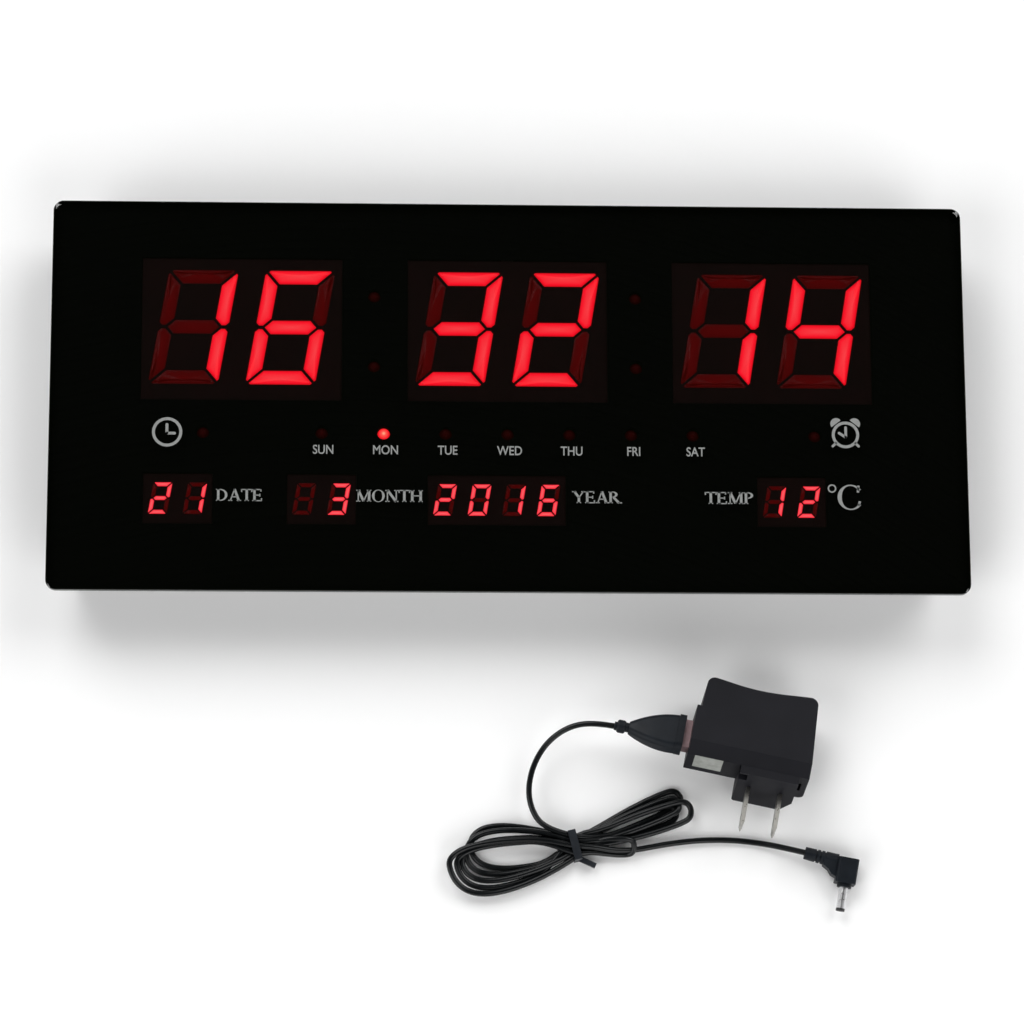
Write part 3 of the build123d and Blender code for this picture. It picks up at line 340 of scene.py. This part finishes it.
def moulded_plastic(name, dark, light, roughness, gloss=0.5, grain_mm=0.45, grain_height=0.02):
    """Injection-moulded plastic with a spark-eroded grain."""
    made = new_material(name, light, roughness[1], Specular_IOR_Level=gloss)
    mottle(made, dark, light, 14)
    uneven_gloss(made, *roughness, 9)
    grain(made, grain_mm, grain_height)
    grain(made, 12, 0.03, 1.0, 0.5)
    return made


def soft_vinyl(name, dark, light, roughness, gloss):
    """Flexible PVC: a smooth skin with faint flow marks."""
    made = new_material(name, light, roughness[0], Specular_IOR_Level=gloss)
    mottle(made, dark, light, 5)
    uneven_gloss(made, *roughness, 4)
    grain(made, 0.8, 0.008)
    return made


def plated_metal(name, base, roughness):
    """Plated metal with faint marks in its gloss."""
    made = new_material(name, base, roughness, 1.0)
    uneven_gloss(made, roughness * 0.85, roughness * 1.2, 2)
    mottle(made, [0.88 * c for c in base], base, 1.5)
    return made


def glowing(name, base, stops, strength):
    """A diffusing epoxy bar whose light follows the mesh's glow value; on unlit bars this light is a
    painted glow.
    """
    made = new_material(name, base, 0.35, Emission_Strength=strength, Specular_IOR_Level=0.3)
    tree = made.node_tree
    source = tree.nodes.new("ShaderNodeAttribute")
    source.attribute_name = "glow"
    colour = ramp(made, source.outputs["Fac"], stops)
    tree.links.new(colour, shader_of(made).inputs["Emission Color"])
    grain(made, 0.25, 0.008)
    return made


def plan_distance(made, x, y):
    """How far, seen from above, each point is from the upright line at x, y in millimetres."""
    tree = made.node_tree
    flat = tree.nodes.new("ShaderNodeVectorMath")
    flat.operation = "MULTIPLY"
    flat.inputs[1].default_value = (1, 1, 0)
    tree.links.new(object_place(made), flat.inputs[0])
    away = tree.nodes.new("ShaderNodeVectorMath")
    away.operation = "DISTANCE"
    away.inputs[1].default_value = (x * MM, y * MM, 0)
    tree.links.new(flat.outputs["Vector"], away.inputs[0])
    return away.outputs["Value"]


def led_epoxy(name, base, stops, strength, centres):
    """A tinted LED lens whose light fades from its axis, at each of these points; on unlit LEDs this light
    is a painted glow.
    """
    made = new_material(name, base, 0.5, Emission_Strength=strength, Specular_IOR_Level=0.1)
    nearest = plan_distance(made, *centres[0])
    for centre in centres[1:]:
        nearest = calculate(made, "MINIMUM", nearest, plan_distance(made, *centre))
    colour = ramp(made, calculate(made, "DIVIDE", nearest, LED_R * MM), stops)
    made.node_tree.links.new(colour, shader_of(made).inputs["Emission Color"])
    grain(made, 0.6, 0.01)
    return made


def printed_ink():
    made = new_material("grey_ink", (0.22, 0.225, 0.22), 0.55)
    mottle(made, (0.19, 0.195, 0.19), (0.24, 0.245, 0.24), 1.2)
    grain(made, 0.3, 0.006)
    return made


def circuit_board():
    made = new_material("circuit_board", (0.02, 0.12, 0.05), 0.3)
    mottle(made, (0.014, 0.09, 0.035), (0.03, 0.15, 0.06), 3, 5.0)
    grain(made, 0.9, 0.02, 4.0)
    return made


def label_paper():
    made = new_material("label_paper", (0.26, 0.27, 0.25), 0.5)
    mottle(made, (0.22, 0.23, 0.21), (0.31, 0.32, 0.30), 2.5, 5.0)
    grain(made, 0.2, 0.01, 5.0)
    return made


def foam():
    made = new_material("foam_tape", (0.012, 0.012, 0.012), 0.9)
    mottle(made, (0.008, 0.008, 0.008), (0.02, 0.02, 0.02), 0.8)
    grain(made, 0.4, 0.12, 3.0)
    return made


def weekday_point(day):
    """Where the light of this day is, counting from 0 for Sunday."""
    return (WEEKDAY_X + (day - len(WEEKDAYS) // 2) * WEEKDAY_STEP, LED_ROW_Y)


TODAY_POINT = weekday_point(WEEKDAYS.index(TODAY))
# The centres of all the LEDs, where the painted glow of the unlit ones is strongest.
PAINTED_GLOW_POINTS = [weekday_point(day) for day in range(len(WEEKDAYS))]
PAINTED_GLOW_POINTS += [(x, y) for x in COLON_X for y in COLON_Y]
PAINTED_GLOW_POINTS += [(x, LED_ROW_Y) for x in INDICATOR_X]

MATERIALS = {
    "smoked_acrylic": smoked_acrylic(),
    "foam_tape": foam(),
    "circuit_board": circuit_board(),
    "label_paper": label_paper(),
    "ink": printed_ink(),
    # The unlit bars are off; their weak emission is a painted glow.
    "unlit_bar": glowing("unlit_bar", (0.30, 0.001, 0.004), UNLIT_BAR_PAINTED_GLOW, 0.10),
    "big_lit_bar": glowing("big_lit_bar", (0.5, 0.01, 0.02), BIG_GLOW, 2.9),
    "small_lit_bar": glowing("small_lit_bar", (0.5, 0.01, 0.02), SMALL_GLOW, 3.0),
    "lit_led": led_epoxy("lit_led", (0.5, 0.02, 0.02), LED_GLOW, 3.4, [TODAY_POINT]),
    # The unlit LEDs are off; their weak emission is a painted glow.
    "unlit_led_painted_glow": led_epoxy("unlit_led_painted_glow", (0.05, 0.001, 0.002), UNLIT_LED_PAINTED_GLOW, 0.035, PAINTED_GLOW_POINTS),
}
MATERIALS.update({name: moulded_plastic(name, *look) for name, look in PLASTICS.items()})
MATERIALS.update({name: soft_vinyl(name, *look) for name, look in VINYLS.items()})
MATERIALS.update({name: plated_metal(name, *look) for name, look in METALS.items()})

NODE_MATERIALS = {
    "front_panel": "smoked_acrylic",
    "panel_mask": "mask_print",
    "panel_tape": "foam_tape",
    "rear_case": "case_plastic",
    "rating_label": "label_paper",
    "main_board": "circuit_board",
    "display_pins": "tinned_wire",
    # Unlit LEDs, with a painted faint glow.
    "colon_leds": "unlit_led_painted_glow",
    "weekday_leds": "unlit_led_painted_glow",
    "indicator_leds": "unlit_led_painted_glow",
    "led_legs": "tinned_wire",
    "board_screws": "screw_steel",
    "microcontroller": "chip_epoxy",
    "driver_chips": "chip_epoxy",
    "clock_crystal": "cell_steel",
    "digit_transistors": "chip_epoxy",
    "segment_resistors": "chip_epoxy",
    "alarm_buzzer": "black_plastic",
    "thermistor": "chip_epoxy",
    "dc_jack": "black_plastic",
    "coin_cell_holder": "black_plastic",
    "coin_cell": "cell_steel",
    "button_switches": "black_plastic",
    "alarm_switch_body": "black_plastic",
    "alarm_switch_knob": "knob_plastic",
    "battery_cover": "case_plastic",
    "set_button": "black_plastic",
    "up_button": "black_plastic",
    "down_button": "black_plastic",
    "adapter_shell": "adapter_plastic",
    "adapter_base": "adapter_plastic",
    "mains_blades": "blade_nickel",
    "usb_socket": "usb_plating",
    "adapter_board": "circuit_board",
    "adapter_components": "black_plastic",
    "adapter_label": "label_paper",
    "usb_plug_shell": "usb_plating",
    "usb_plug_insulator": "contact_white",
    "usb_plug_hood": "plug_pvc",
    "cord_tie": "tie_pvc",
    "barrel_plug_hood": "plug_pvc",
    "barrel_plug_sleeve": "cell_steel",
    "barrel_plug_tip": "black_plastic",
}


def paint_cad_nodes():
    """Gives every CAD node that stays its finish."""
    for name, finish in NODE_MATERIALS.items():
        slots = nodes[name].data.materials
        slots.clear()
        slots.append(MATERIALS[finish])
    # Display bodies get the dark finish whose red tint is painted glow.
    for name in READINGS:
        slots = nodes[f"{name}_display_housing"].data.materials
        slots.clear()
        slots.append(MATERIALS["display_body"])


def light_today():
    """Gives the lens of the lit weekday its own material."""
    mesh = nodes["weekday_leds"].data
    mesh.materials.append(MATERIALS["lit_led"])
    for face in mesh.polygons:
        if abs(face.center.x - TODAY_POINT[0] * MM) < 0.3 * WEEKDAY_STEP * MM:
            face.material_index = 1


# ---- Pieces ----
def new_piece(name, mesh, body, finish):
    """A mesh as a piece of the object, in place, on a body."""
    piece = bpy.data.objects.new(name, mesh)
    bpy.context.scene.collection.objects.link(piece)
    for key in [finish] if isinstance(finish, str) else finish:
        mesh.materials.append(MATERIALS[key])
    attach(piece, body)
    return piece


def to_mesh(work, name):
    """A finished mesh from a bmesh, with its normals outwards."""
    bmesh.ops.recalc_face_normals(work, faces=work.faces)
    mesh = bpy.data.meshes.new(name)
    work.to_mesh(mesh)
    work.free()
    return mesh


# ---- Seven-segment bars ----
def bar_outlines(node):
    """The top outline of each bar of a display, anticlockwise, from the CAD mesh."""
    work = bmesh.new()
    work.from_mesh(nodes[node].data)
    bmesh.ops.remove_doubles(work, verts=work.verts, dist=1e-6)
    top = max(v.co.z for v in work.verts)
    left = {v for v in work.verts if top - v.co.z < 1e-5}
    outlines = []
    while left:
        group, queue = set(), [left.pop()]
        while queue:
            here = queue.pop()
            group.add(here)
            for edge in here.link_edges:
                other = edge.other_vert(here)
                if other in left:
                    left.discard(other)
                    queue.append(other)
        points = [v.co.copy() for v in group]
        centre = sum(points, Vector()) / len(points)
        points.sort(key=lambda p: math.atan2(p.y - centre.y, p.x - centre.x))
        outlines.append(points)
    work.free()
    return outlines


def inset(outline, distance):
    """A convex anticlockwise outline moved inwards."""
    moved = []
    count = len(outline)
    for i, here in enumerate(outline):
        before, after = outline[i - 1], outline[(i + 1) % count]
        come, go = (here - before).normalized(), (after - here).normalized()
        side_a, side_b = Vector((-come.y, come.x, 0)), Vector((-go.y, go.x, 0))
        moved.append(here + (side_a + side_b) * distance / (1 + side_a.dot(side_b)))
    return moved


# Rings of a bar from its foot up: how far in and how high, as shares of its width, and its glow, which on
# unlit bars is a painted glow.
BAR_PROFILE = (
    (0.0, -0.2, 0.0),
    (0.0, -0.03, 0.0),
    (0.03, 0.0, 0.1),
    (0.12, 0.012, 0.4),
    (0.26, 0.022, 0.62),
)
# A bar's width as a share of its digit's height.
BAR_WIDTH_SHARE = 0.125


def add_bar(work, glow, outline, bar, material_index):
    """One moulded bar: straight sides, a soft shoulder and a low crown, brightest at its middle."""
    rings = []
    for distance, rise, value in BAR_PROFILE:
        ring = []
        for point in inset(outline, distance * bar):
            vertex = work.verts.new(point + Vector((0, 0, rise * bar)))
            vertex[glow] = value
            ring.append(vertex)
        rings.append(ring)
    centre = work.verts.new(sum((v.co for v in rings[-1]), Vector()) / len(rings[-1]))
    centre[glow] = 1.0
    faces = [work.faces.new(list(reversed(rings[0])))]
    count = len(outline)
    for low, high in zip(rings, rings[1:]):
        for i in range(count):
            j = (i + 1) % count
            faces.append(work.faces.new((low[i], low[j], high[j], high[i])))
    for i in range(count):
        faces.append(work.faces.new((rings[-1][i], rings[-1][(i + 1) % count], centre)))
    for face in faces:
        face.material_index = material_index
        face.smooth = len(face.verts) <= 4


def bar_letter(offset, height):
    """Which bar of a digit lies at this offset from the digit's centre."""
    if abs(offset.x) < 0.15 * height:
        return "g" if abs(offset.y) < 0.2 * height else ("a" if offset.y > 0 else "d")
    if offset.x > 0:
        return "b" if offset.y > 0 else "c"
    return "f" if offset.y > 0 else "e"


def build_bars(name, reading):
    """The light bars of one display, lit as it reads."""
    node = f"{name}_display_segments"
    low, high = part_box(node)
    height = high.y - low.y
    middle_y = (low.y + high.y) / 2
    slant = math.tan(math.radians(SLANT_DEG))
    placed = []
    for outline in bar_outlines(node):
        centre = sum(outline, Vector()) / len(outline)
        upright = Vector((centre.x - (centre.y - middle_y) * slant, centre.y - middle_y, 0))
        placed.append((upright, outline))
    placed.sort(key=lambda item: item[0].x)
    work = bmesh.new()
    glow = work.verts.layers.float.new("glow")
    for i, digit in enumerate(reading):
        bars = placed[BARS_A_DIGIT * i:BARS_A_DIGIT * (i + 1)]
        centre_x = (bars[0][0].x + bars[-1][0].x) / 2
        for upright, outline in bars:
            letter = bar_letter(upright - Vector((centre_x, 0, 0)), height)
            lit = letter in LIT_BARS[digit]
            add_bar(work, glow, outline, BAR_WIDTH_SHARE * height, int(lit))
    big = height > BIG_DIGIT_H * MM
    finish = ["unlit_bar", "big_lit_bar" if big else "small_lit_bar"]
    piece = new_piece(f"{name}_bars", to_mesh(work, f"{name}_bars"), "clock", finish)
    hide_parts(node)


# ---- Printed symbols ----
PANEL_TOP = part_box("front_panel")[1].z


def add_prism(work, points):
    """A thin flat shape of ink on the panel, from its outline in millimetres."""
    low = [work.verts.new((x * MM, y * MM, PANEL_TOP)) for x, y in points]
    high = [work.verts.new((x * MM, y * MM, PANEL_TOP + INK_T * MM)) for x, y in points]
    work.faces.new(high)
    work.faces.new(list(reversed(low)))
    for i in range(len(points)):
        j = (i + 1) % len(points)
        work.faces.new((low[i], low[j], high[j], high[i]))


def stroke(start, end, width):
    """Outline of a straight stroke."""
    along = (Vector(end) - Vector(start)).normalized()
    side = Vector((-along.y, along.x)) * width / 2
    a, b = Vector(start), Vector(end)
    return [tuple(p) for p in (a - side, b - side, b + side, a + side)]


def round_stroke(start, end, width):
    """Outline of a straight stroke with round ends."""
    a, b = Vector(start), Vector(end)
    heading = math.atan2(b.y - a.y, b.x - a.x)
    points = []
    for centre, turn in ((b, heading - math.pi / 2), (a, heading + math.pi / 2)):
        for i in range(7):
            angle = turn + math.pi * i / 6
            points.append((centre.x + width / 2 * math.cos(angle), centre.y + width / 2 * math.sin(angle)))
    return points


def arc_band(centre, radii, start_deg, end_deg, thick, thin, steps=28):
    """Short quads along an elliptical arc that is thick at its sides and thin at its top and foot."""
    quads, before = [], None
    for i in range(steps + 1):
        angle = math.radians(start_deg + (end_deg - start_deg) * i / steps)
        width = thin + (thick - thin) * math.cos(angle) ** 2
        cos, sin = math.cos(angle), math.sin(angle)
        inner = (centre[0] + (radii[0] - width) * cos, centre[1] + (radii[1] - width) * sin)
        outer = (centre[0] + radii[0] * cos, centre[1] + radii[1] * sin)
        if before:
            quads.append([before[0], before[1], outer, inner])
        before = (inner, outer)
    return quads


def foot(x, y):
    """A serif at one end of a stem."""
    return stroke((x - SERIF, y), (x + SERIF, y), HAIR)


def stem(x, width=STEM):
    """An upright stem with a serif at each end."""
    return [stroke((x, 0), (x, 1), width), foot(x, HAIR / 2), foot(x, 1 - HAIR / 2)]


def glyph(letter):
    """Strokes of one serif capital, one unit tall, and its width."""
    if letter == "A":
        legs = [stroke((0.13, 0), (0.43, 1), HAIR), stroke((0.43, 1), (0.75, 0), STEM)]
        rest = [stroke((0.22, 0.34), (0.62, 0.34), HAIR), foot(0.13, HAIR / 2), foot(0.75, HAIR / 2)]
        return legs + rest, 0.9
    if letter == "C":
        ends = [stroke((0.74, 0.70), (0.76, 0.98), HAIR), stroke((0.76, 0.16), (0.80, 0.34), HAIR)]
        return arc_band((0.48, 0.5), (0.46, 0.52), 38, 322, 0.15, 0.05) + ends, 0.84
    if letter == "D":
        return stem(0.15) + arc_band((0.28, 0.5), (0.52, 0.5), -90, 90, STEM, HAIR), 0.88
    if letter == "E":
        reaches = ((0.033, 0.65), (0.5, 0.53), (0.967, 0.61))
        arms = [stroke((0.15, y), (reach, y), HAIR) for y, reach in reaches]
        ends = (((0.64, 0), (0.66, 0.24)), ((0.53, 0.38), (0.53, 0.62)), ((0.61, 0.8), (0.6, 1)))
        return stem(0.15) + arms + [stroke(*end, HAIR) for end in ends], 0.76
    if letter == "H":
        return stem(0.15) + stem(0.73) + [stroke((0.15, 0.52), (0.73, 0.52), HAIR)], 0.9
    if letter == "M":
        slopes = [stroke((0.15, 1), (0.52, 0.04), STEM), stroke((0.52, 0.04), (0.88, 1), HAIR)]
        return stem(0.15, HAIR) + stem(0.9) + slopes, 1.08
    if letter == "N":
        return stem(0.15, HAIR) + stem(0.76, HAIR) + [stroke((0.15, 1), (0.76, 0), STEM)], 0.92
    if letter == "O":
        return arc_band((0.46, 0.5), (0.44, 0.52), 0, 360, STEM, 0.05), 0.94
    if letter == "P":
        return stem(0.15) + arc_band((0.28, 0.73), (0.36, 0.27), -90, 90, STEM, HAIR, 16), 0.7
    if letter == "R":
        bowl = arc_band((0.28, 0.74), (0.36, 0.26), -90, 90, STEM, HAIR, 16)
        return stem(0.15) + bowl + [stroke((0.36, 0.5), (0.76, 0), STEM), foot(0.8, HAIR / 2)], 0.88
    if letter == "T":
        bar = ((0.03, 0.967), (0.77, 0.967))
        ends = (((0.04, 0.76), (0.03, 1)), ((0.77, 1), (0.76, 0.76)))
        arms = [stroke(*line, HAIR) for line in (bar, *ends)]
        return arms + [stroke((0.4, 0), (0.4, 1), STEM), foot(0.4, HAIR / 2)], 0.8
    slopes = [stroke((0.1, 1), (0.42, 0.46), STEM), stroke((0.76, 1), (0.42, 0.46), HAIR)]
    serifs = [foot(0.1, 1 - HAIR / 2), foot(0.74, 1 - HAIR / 2), foot(0.42, HAIR / 2)]
    return slopes + serifs + [stroke((0.42, 0), (0.42, 0.5), STEM)], 0.86


def add_word(work, word, left, right, base, height):
    """A word in serif capitals, fitted between two edges."""
    drawn = [glyph(letter) for letter in word]
    scale = (right - left) / sum(width for shapes, width in drawn)
    x = left
    for shapes, width in drawn:
        for outline in shapes:
            add_prism(work, [(x + u * scale, base + v * height) for u, v in outline])
        x += width * scale


def add_ring(work, centre, radius, thick):
    """A round ring of ink."""
    for quad in arc_band(centre, (radius, radius), 0, 360, thick, thick, 48):
        add_prism(work, quad)


def add_half_disc(work, centre, radius, facing_deg):
    """A half disc whose round side faces this way."""
    points = []
    for i in range(13):
        angle = math.radians(facing_deg - 90 + 180 * i / 12)
        points.append((centre[0] + radius * math.cos(angle), centre[1] + radius * math.sin(angle)))
    add_prism(work, points)


def add_hands(work, centre, pivot, tips, width):
    """Clock hands from a pivot to each tip, all given from the symbol's centre."""
    x, y = centre
    for tip in tips:
        add_prism(work, round_stroke((x + pivot[0], y + pivot[1]), (x + tip[0], y + tip[1]), width))


def clock_symbol(work):
    """A plain clock face, for the hourly chime."""
    add_ring(work, CLOCK_SYMBOL, *CLOCK_RING)
    add_hands(work, CLOCK_SYMBOL, CLOCK_PIVOT, CLOCK_HANDS, CLOCK_HAND_W)


def alarm_symbol(work):
    """An alarm clock with two bells and two feet."""
    x, y = ALARM_SYMBOL
    add_ring(work, ALARM_SYMBOL, *ALARM_RING)
    add_hands(work, ALARM_SYMBOL, ALARM_PIVOT, ALARM_HANDS, ALARM_HAND_W)
    for side in (-1, 1):
        bell = (x + side * ALARM_BELL[0], y + ALARM_BELL[1])
        add_half_disc(work, bell, ALARM_BELL_R, 90 - side * ALARM_BELL_LEAN_DEG)
        top, toe = [(x + side * u, y + v) for u, v in ALARM_FOOT]
        add_prism(work, round_stroke(top, toe, ALARM_FOOT_W))


def build_symbols():
    """The clock and alarm symbols, the serif words and the degree sign."""
    drawings = {"clock_symbol": clock_symbol, "alarm_symbol": alarm_symbol}
    for name, draw in drawings.items():
        work = bmesh.new()
        draw(work)
        new_piece(name, to_mesh(work, name), "clock", "ink")
    for word, (left, right) in WORDS.items():
        work = bmesh.new()
        add_word(work, word, left, right, WORD_Y, WORD_H)
        new_piece(f"{word.lower()}_word", to_mesh(work, word), "clock", "ink")
    work = bmesh.new()
    add_ring(work, DEGREE_SYMBOL, *DEGREE_RING)
    left, right, base, height = CELSIUS
    add_word(work, "C", left, right, base, height)
    new_piece("celsius_symbol", to_mesh(work, "celsius_symbol"), "clock", "ink")


def build_weekday_words():
    """The names of the days under their lights, in plain capitals."""
    for day, word in enumerate(WEEKDAYS):
        text = bpy.data.curves.new(word, "FONT")
        text.body = word
        text.align_x = "CENTER"
        text.size = WEEKDAY_TEXT_H / CAPITAL_SHARE * MM
        text.extrude = INK_T / 2 * MM
        text.offset = WEEKDAY_TEXT_BOLD * MM
        text.resolution_u = 4
        holder = bpy.data.objects.new(word, text)
        bpy.context.scene.collection.objects.link(holder)
        bpy.context.view_layer.update()
        mesh = bpy.data.meshes.new_from_object(holder)
        bpy.data.objects.remove(holder)
        x = weekday_point(day)[0] + WEEKDAY_TEXT_SHIFT
        y = WEEKDAY_TEXT_Y - WEEKDAY_TEXT_H / 2
        narrow = Matrix.Diagonal((WEEKDAY_TEXT_NARROW, 1, 1, 1))
        place = Matrix.Translation((x * MM, y * MM, PANEL_TOP + INK_T / 2 * MM))
        mesh.transform(place @ narrow)
        mesh.materials.clear()
        new_piece(f"{word.lower()}_word", mesh, "clock", "ink")


# ---- Cord ----
def ease(share):
    """A smooth step from 0 to 1."""
    share = min(max(share, 0.0), 1.0)
    return share * share * (3 - 2 * share)


def hank_points():
    """Points of the cord through the hank, from its first pass through the tie to its last."""
    points = []
    total = TURN_POINTS * len(TURNS)
    for i in range(total + 1):
        angle = 2 * math.pi * (i % TURN_POINTS) / TURN_POINTS
        side = 0 if angle < math.pi and i < total else 1
        reach, half, axis_deg, bow = TURNS[min(i // TURN_POINTS, len(TURNS) - 1)][side]
        along = math.sin(angle)
        swing = math.sin(2 * angle)
        full = abs(swing) ** FULLNESS[side][abs(along) > math.sqrt(0.5)]
        near = ease(1 - abs(reach * along) / NECK_REACH)
        offset, level = PASSES[int(2 * i / TURN_POINTS + 0.5)]
        across = (bow * full - math.copysign(half * full, swing)) * (1 - near / 2) + offset * near
        height = level * near + (CORD_D / 2 + TURN_LIFT * (i // TURN_POINTS)) * (1 - near)
        axis = math.radians(axis_deg * (1 - near) + NECK_TURN_DEG * near)
        x = NECK[0] + reach * along * math.cos(axis) - across * math.sin(axis)
        y = NECK[1] + reach * along * math.sin(axis) + across * math.cos(axis)
        points.append((x, y, height))
    return points


def settle(points, held=3, parts=3):
    """Lifts strands that would pass through each other, holding the first and last few points."""
    placed = numpy.array(points)
    count = len(placed)
    share = numpy.zeros(((count - 1) * parts, count))
    for row in range(len(share)):
        i, step = divmod(row, parts)
        share[row, i] = 1 - step / parts
        share[row, i + 1] = step / parts
    flat = share @ placed[:, :2]
    steps = numpy.linalg.norm(numpy.diff(flat, axis=0), axis=1)
    run = numpy.concatenate([[0], numpy.cumsum(steps)])
    gap = numpy.linalg.norm(flat[:, None] - flat[None], axis=2)
    meets = (numpy.abs(run[:, None] - run[None]) > 3 * CORD_D) & (gap < CORD_D)
    need = numpy.sqrt(numpy.maximum(CORD_D ** 2 - gap ** 2, 0)) * meets
    for _ in range(SETTLE_ROUNDS):
        height = share @ placed[:, 2]
        above = height[:, None] - height[None]
        push = numpy.maximum(need - numpy.abs(above), 0) * numpy.where(above >= 0, 1, -1)
        move = (push.max(axis=1) + push.min(axis=1)) / 2
        placed[:, 2] += SETTLE_PUSH * (share.T @ move) / share.sum(axis=0)
        placed[1:-1, 2] += SETTLE_SMOOTH * (placed[:-2, 2] + placed[2:, 2] - 2 * placed[1:-1, 2])
        placed[:, 2] = numpy.maximum(placed[:, 2] - SETTLE_SINK, CORD_D / 2)
        placed[:held] = points[:held]
        placed[-held:] = points[-held:]
    return placed.tolist()


def build_cord():
    """The whole cord as one smooth line, from the USB hood through the hank to the barrel plug."""
    curve = bpy.data.curves.new("power_cord", "CURVE")
    curve.dimensions = "3D"
    curve.bevel_depth = CORD_D / 2 * MM
    curve.bevel_resolution = 5
    curve.resolution_u = 6
    curve.use_fill_caps = True
    spline = curve.splines.new("NURBS")
    route = settle(USB_ROUTE + hank_points() + LEAVING_TIE + PLUG_ROUTE)
    spline.points.add(len(route) - 1)
    for point, (x, y, z) in zip(spline.points, route):
        point.co = (x * MM, y * MM, z * MM, 1)
    spline.order_u = 3
    spline.use_endpoint_u = True
    piece = bpy.data.objects.new("power_cord", curve)
    bpy.context.scene.collection.objects.link(piece)
    curve.materials.append(MATERIALS["cord_pvc"])
    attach(piece, "usb_lead")
    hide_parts("cord_usb_lead", "cord_hank", "cord_plug_lead")
    ends = ["usb_plug_shell", "usb_plug_insulator", "usb_plug_hood", "cord_tie"]
    ends += ["barrel_plug_hood", "barrel_plug_sleeve", "barrel_plug_tip"]


# ---- Studio ----
def build_floor():
    """A plain pale floor, with no edge in sight."""
    mesh = bpy.data.meshes.new("floor")
    work = bmesh.new()
    bmesh.ops.create_grid(work, x_segments=FLOOR_CELLS, y_segments=FLOOR_CELLS, size=FLOOR_REACH)
    work.to_mesh(mesh)
    work.free()
    floor = bpy.data.objects.new("floor", mesh)
    bpy.context.scene.collection.objects.link(floor)
    paint = new_material("floor_paint", (0.9, 0.9, 0.9), 0.9, Specular_IOR_Level=0.1)
    mottle(paint, (0.885, 0.885, 0.885), (0.91, 0.91, 0.91), 300)
    mesh.materials.append(paint)


def add_sun(azimuth_deg, elevation_deg, strength):
    """A broad soft light from this side."""
    lamp = bpy.data.lights.new("soft_light", "SUN")
    lamp.energy = strength
    lamp.angle = math.radians(LIGHT_SPREAD_DEG)
    holder = bpy.data.objects.new("soft_light", lamp)
    azimuth, elevation = math.radians(azimuth_deg), math.radians(elevation_deg)
    source = Vector((
        math.cos(azimuth) * math.cos(elevation),
        math.sin(azimuth) * math.cos(elevation),
        math.sin(elevation),
    ))
    holder.rotation_mode = "QUATERNION"
    holder.rotation_quaternion = source.to_track_quat("Z", "Y")
    bpy.context.scene.collection.objects.link(holder)


def build_lights():
    """Soft light from four sides, and a sky that is bright low down and dark overhead."""
    for light in LIGHTS:
        add_sun(*light)
    world = bpy.data.worlds.new("studio")
    world.use_nodes = True
    tree = world.node_tree
    background = tree.nodes["Background"]
    coordinates = tree.nodes.new("ShaderNodeTexCoord")
    split = tree.nodes.new("ShaderNodeSeparateXYZ")
    fade = tree.nodes.new("ShaderNodeValToRGB")
    for element, (position, bright) in zip(fade.color_ramp.elements, SKY):
        element.position = position
        element.color = (bright, bright, bright, 1)
    tree.links.new(coordinates.outputs["Generated"], split.inputs["Vector"])
    tree.links.new(split.outputs["Z"], fade.inputs["Fac"])
    tree.links.new(fade.outputs["Color"], background.inputs["Color"])
    bpy.context.scene.world = world
    bpy.context.scene.view_settings.view_transform = "Standard"


def build_camera():
    """The camera, high above, past the clock's lower edge and a little to its left."""
    angles = (CAMERA_AZIMUTH, CAMERA_ELEVATION, CAMERA_ROLL)
    azimuth, elevation, roll = (math.radians(angle) for angle in angles)
    back = Vector((
        math.sin(azimuth) * math.cos(elevation),
        -math.cos(azimuth) * math.cos(elevation),
        math.sin(elevation),
    ))
    level = Vector((0, 0, 1)).cross(back).normalized()
    rise = back.cross(level)
    right = level * math.cos(roll) + rise * math.sin(roll)
    up = rise * math.cos(roll) - level * math.sin(roll)
    data = bpy.data.cameras.new("camera")
    data.lens = CAMERA_LENS
    data.clip_end = CAMERA_REACH
    camera = bpy.data.objects.new("camera", data)
    turn = Matrix((right, up, back)).transposed().to_4x4()
    camera.matrix_world = Matrix.Translation(CAMERA_PLACE) @ turn
    bpy.context.scene.collection.objects.link(camera)
    bpy.context.scene.camera = camera


build_camera()
build_lights()
build_floor()
paint_cad_nodes()
light_today()
for display, reading in READINGS.items():
    build_bars(display, reading)
build_symbols()
build_weekday_words()
build_cord()
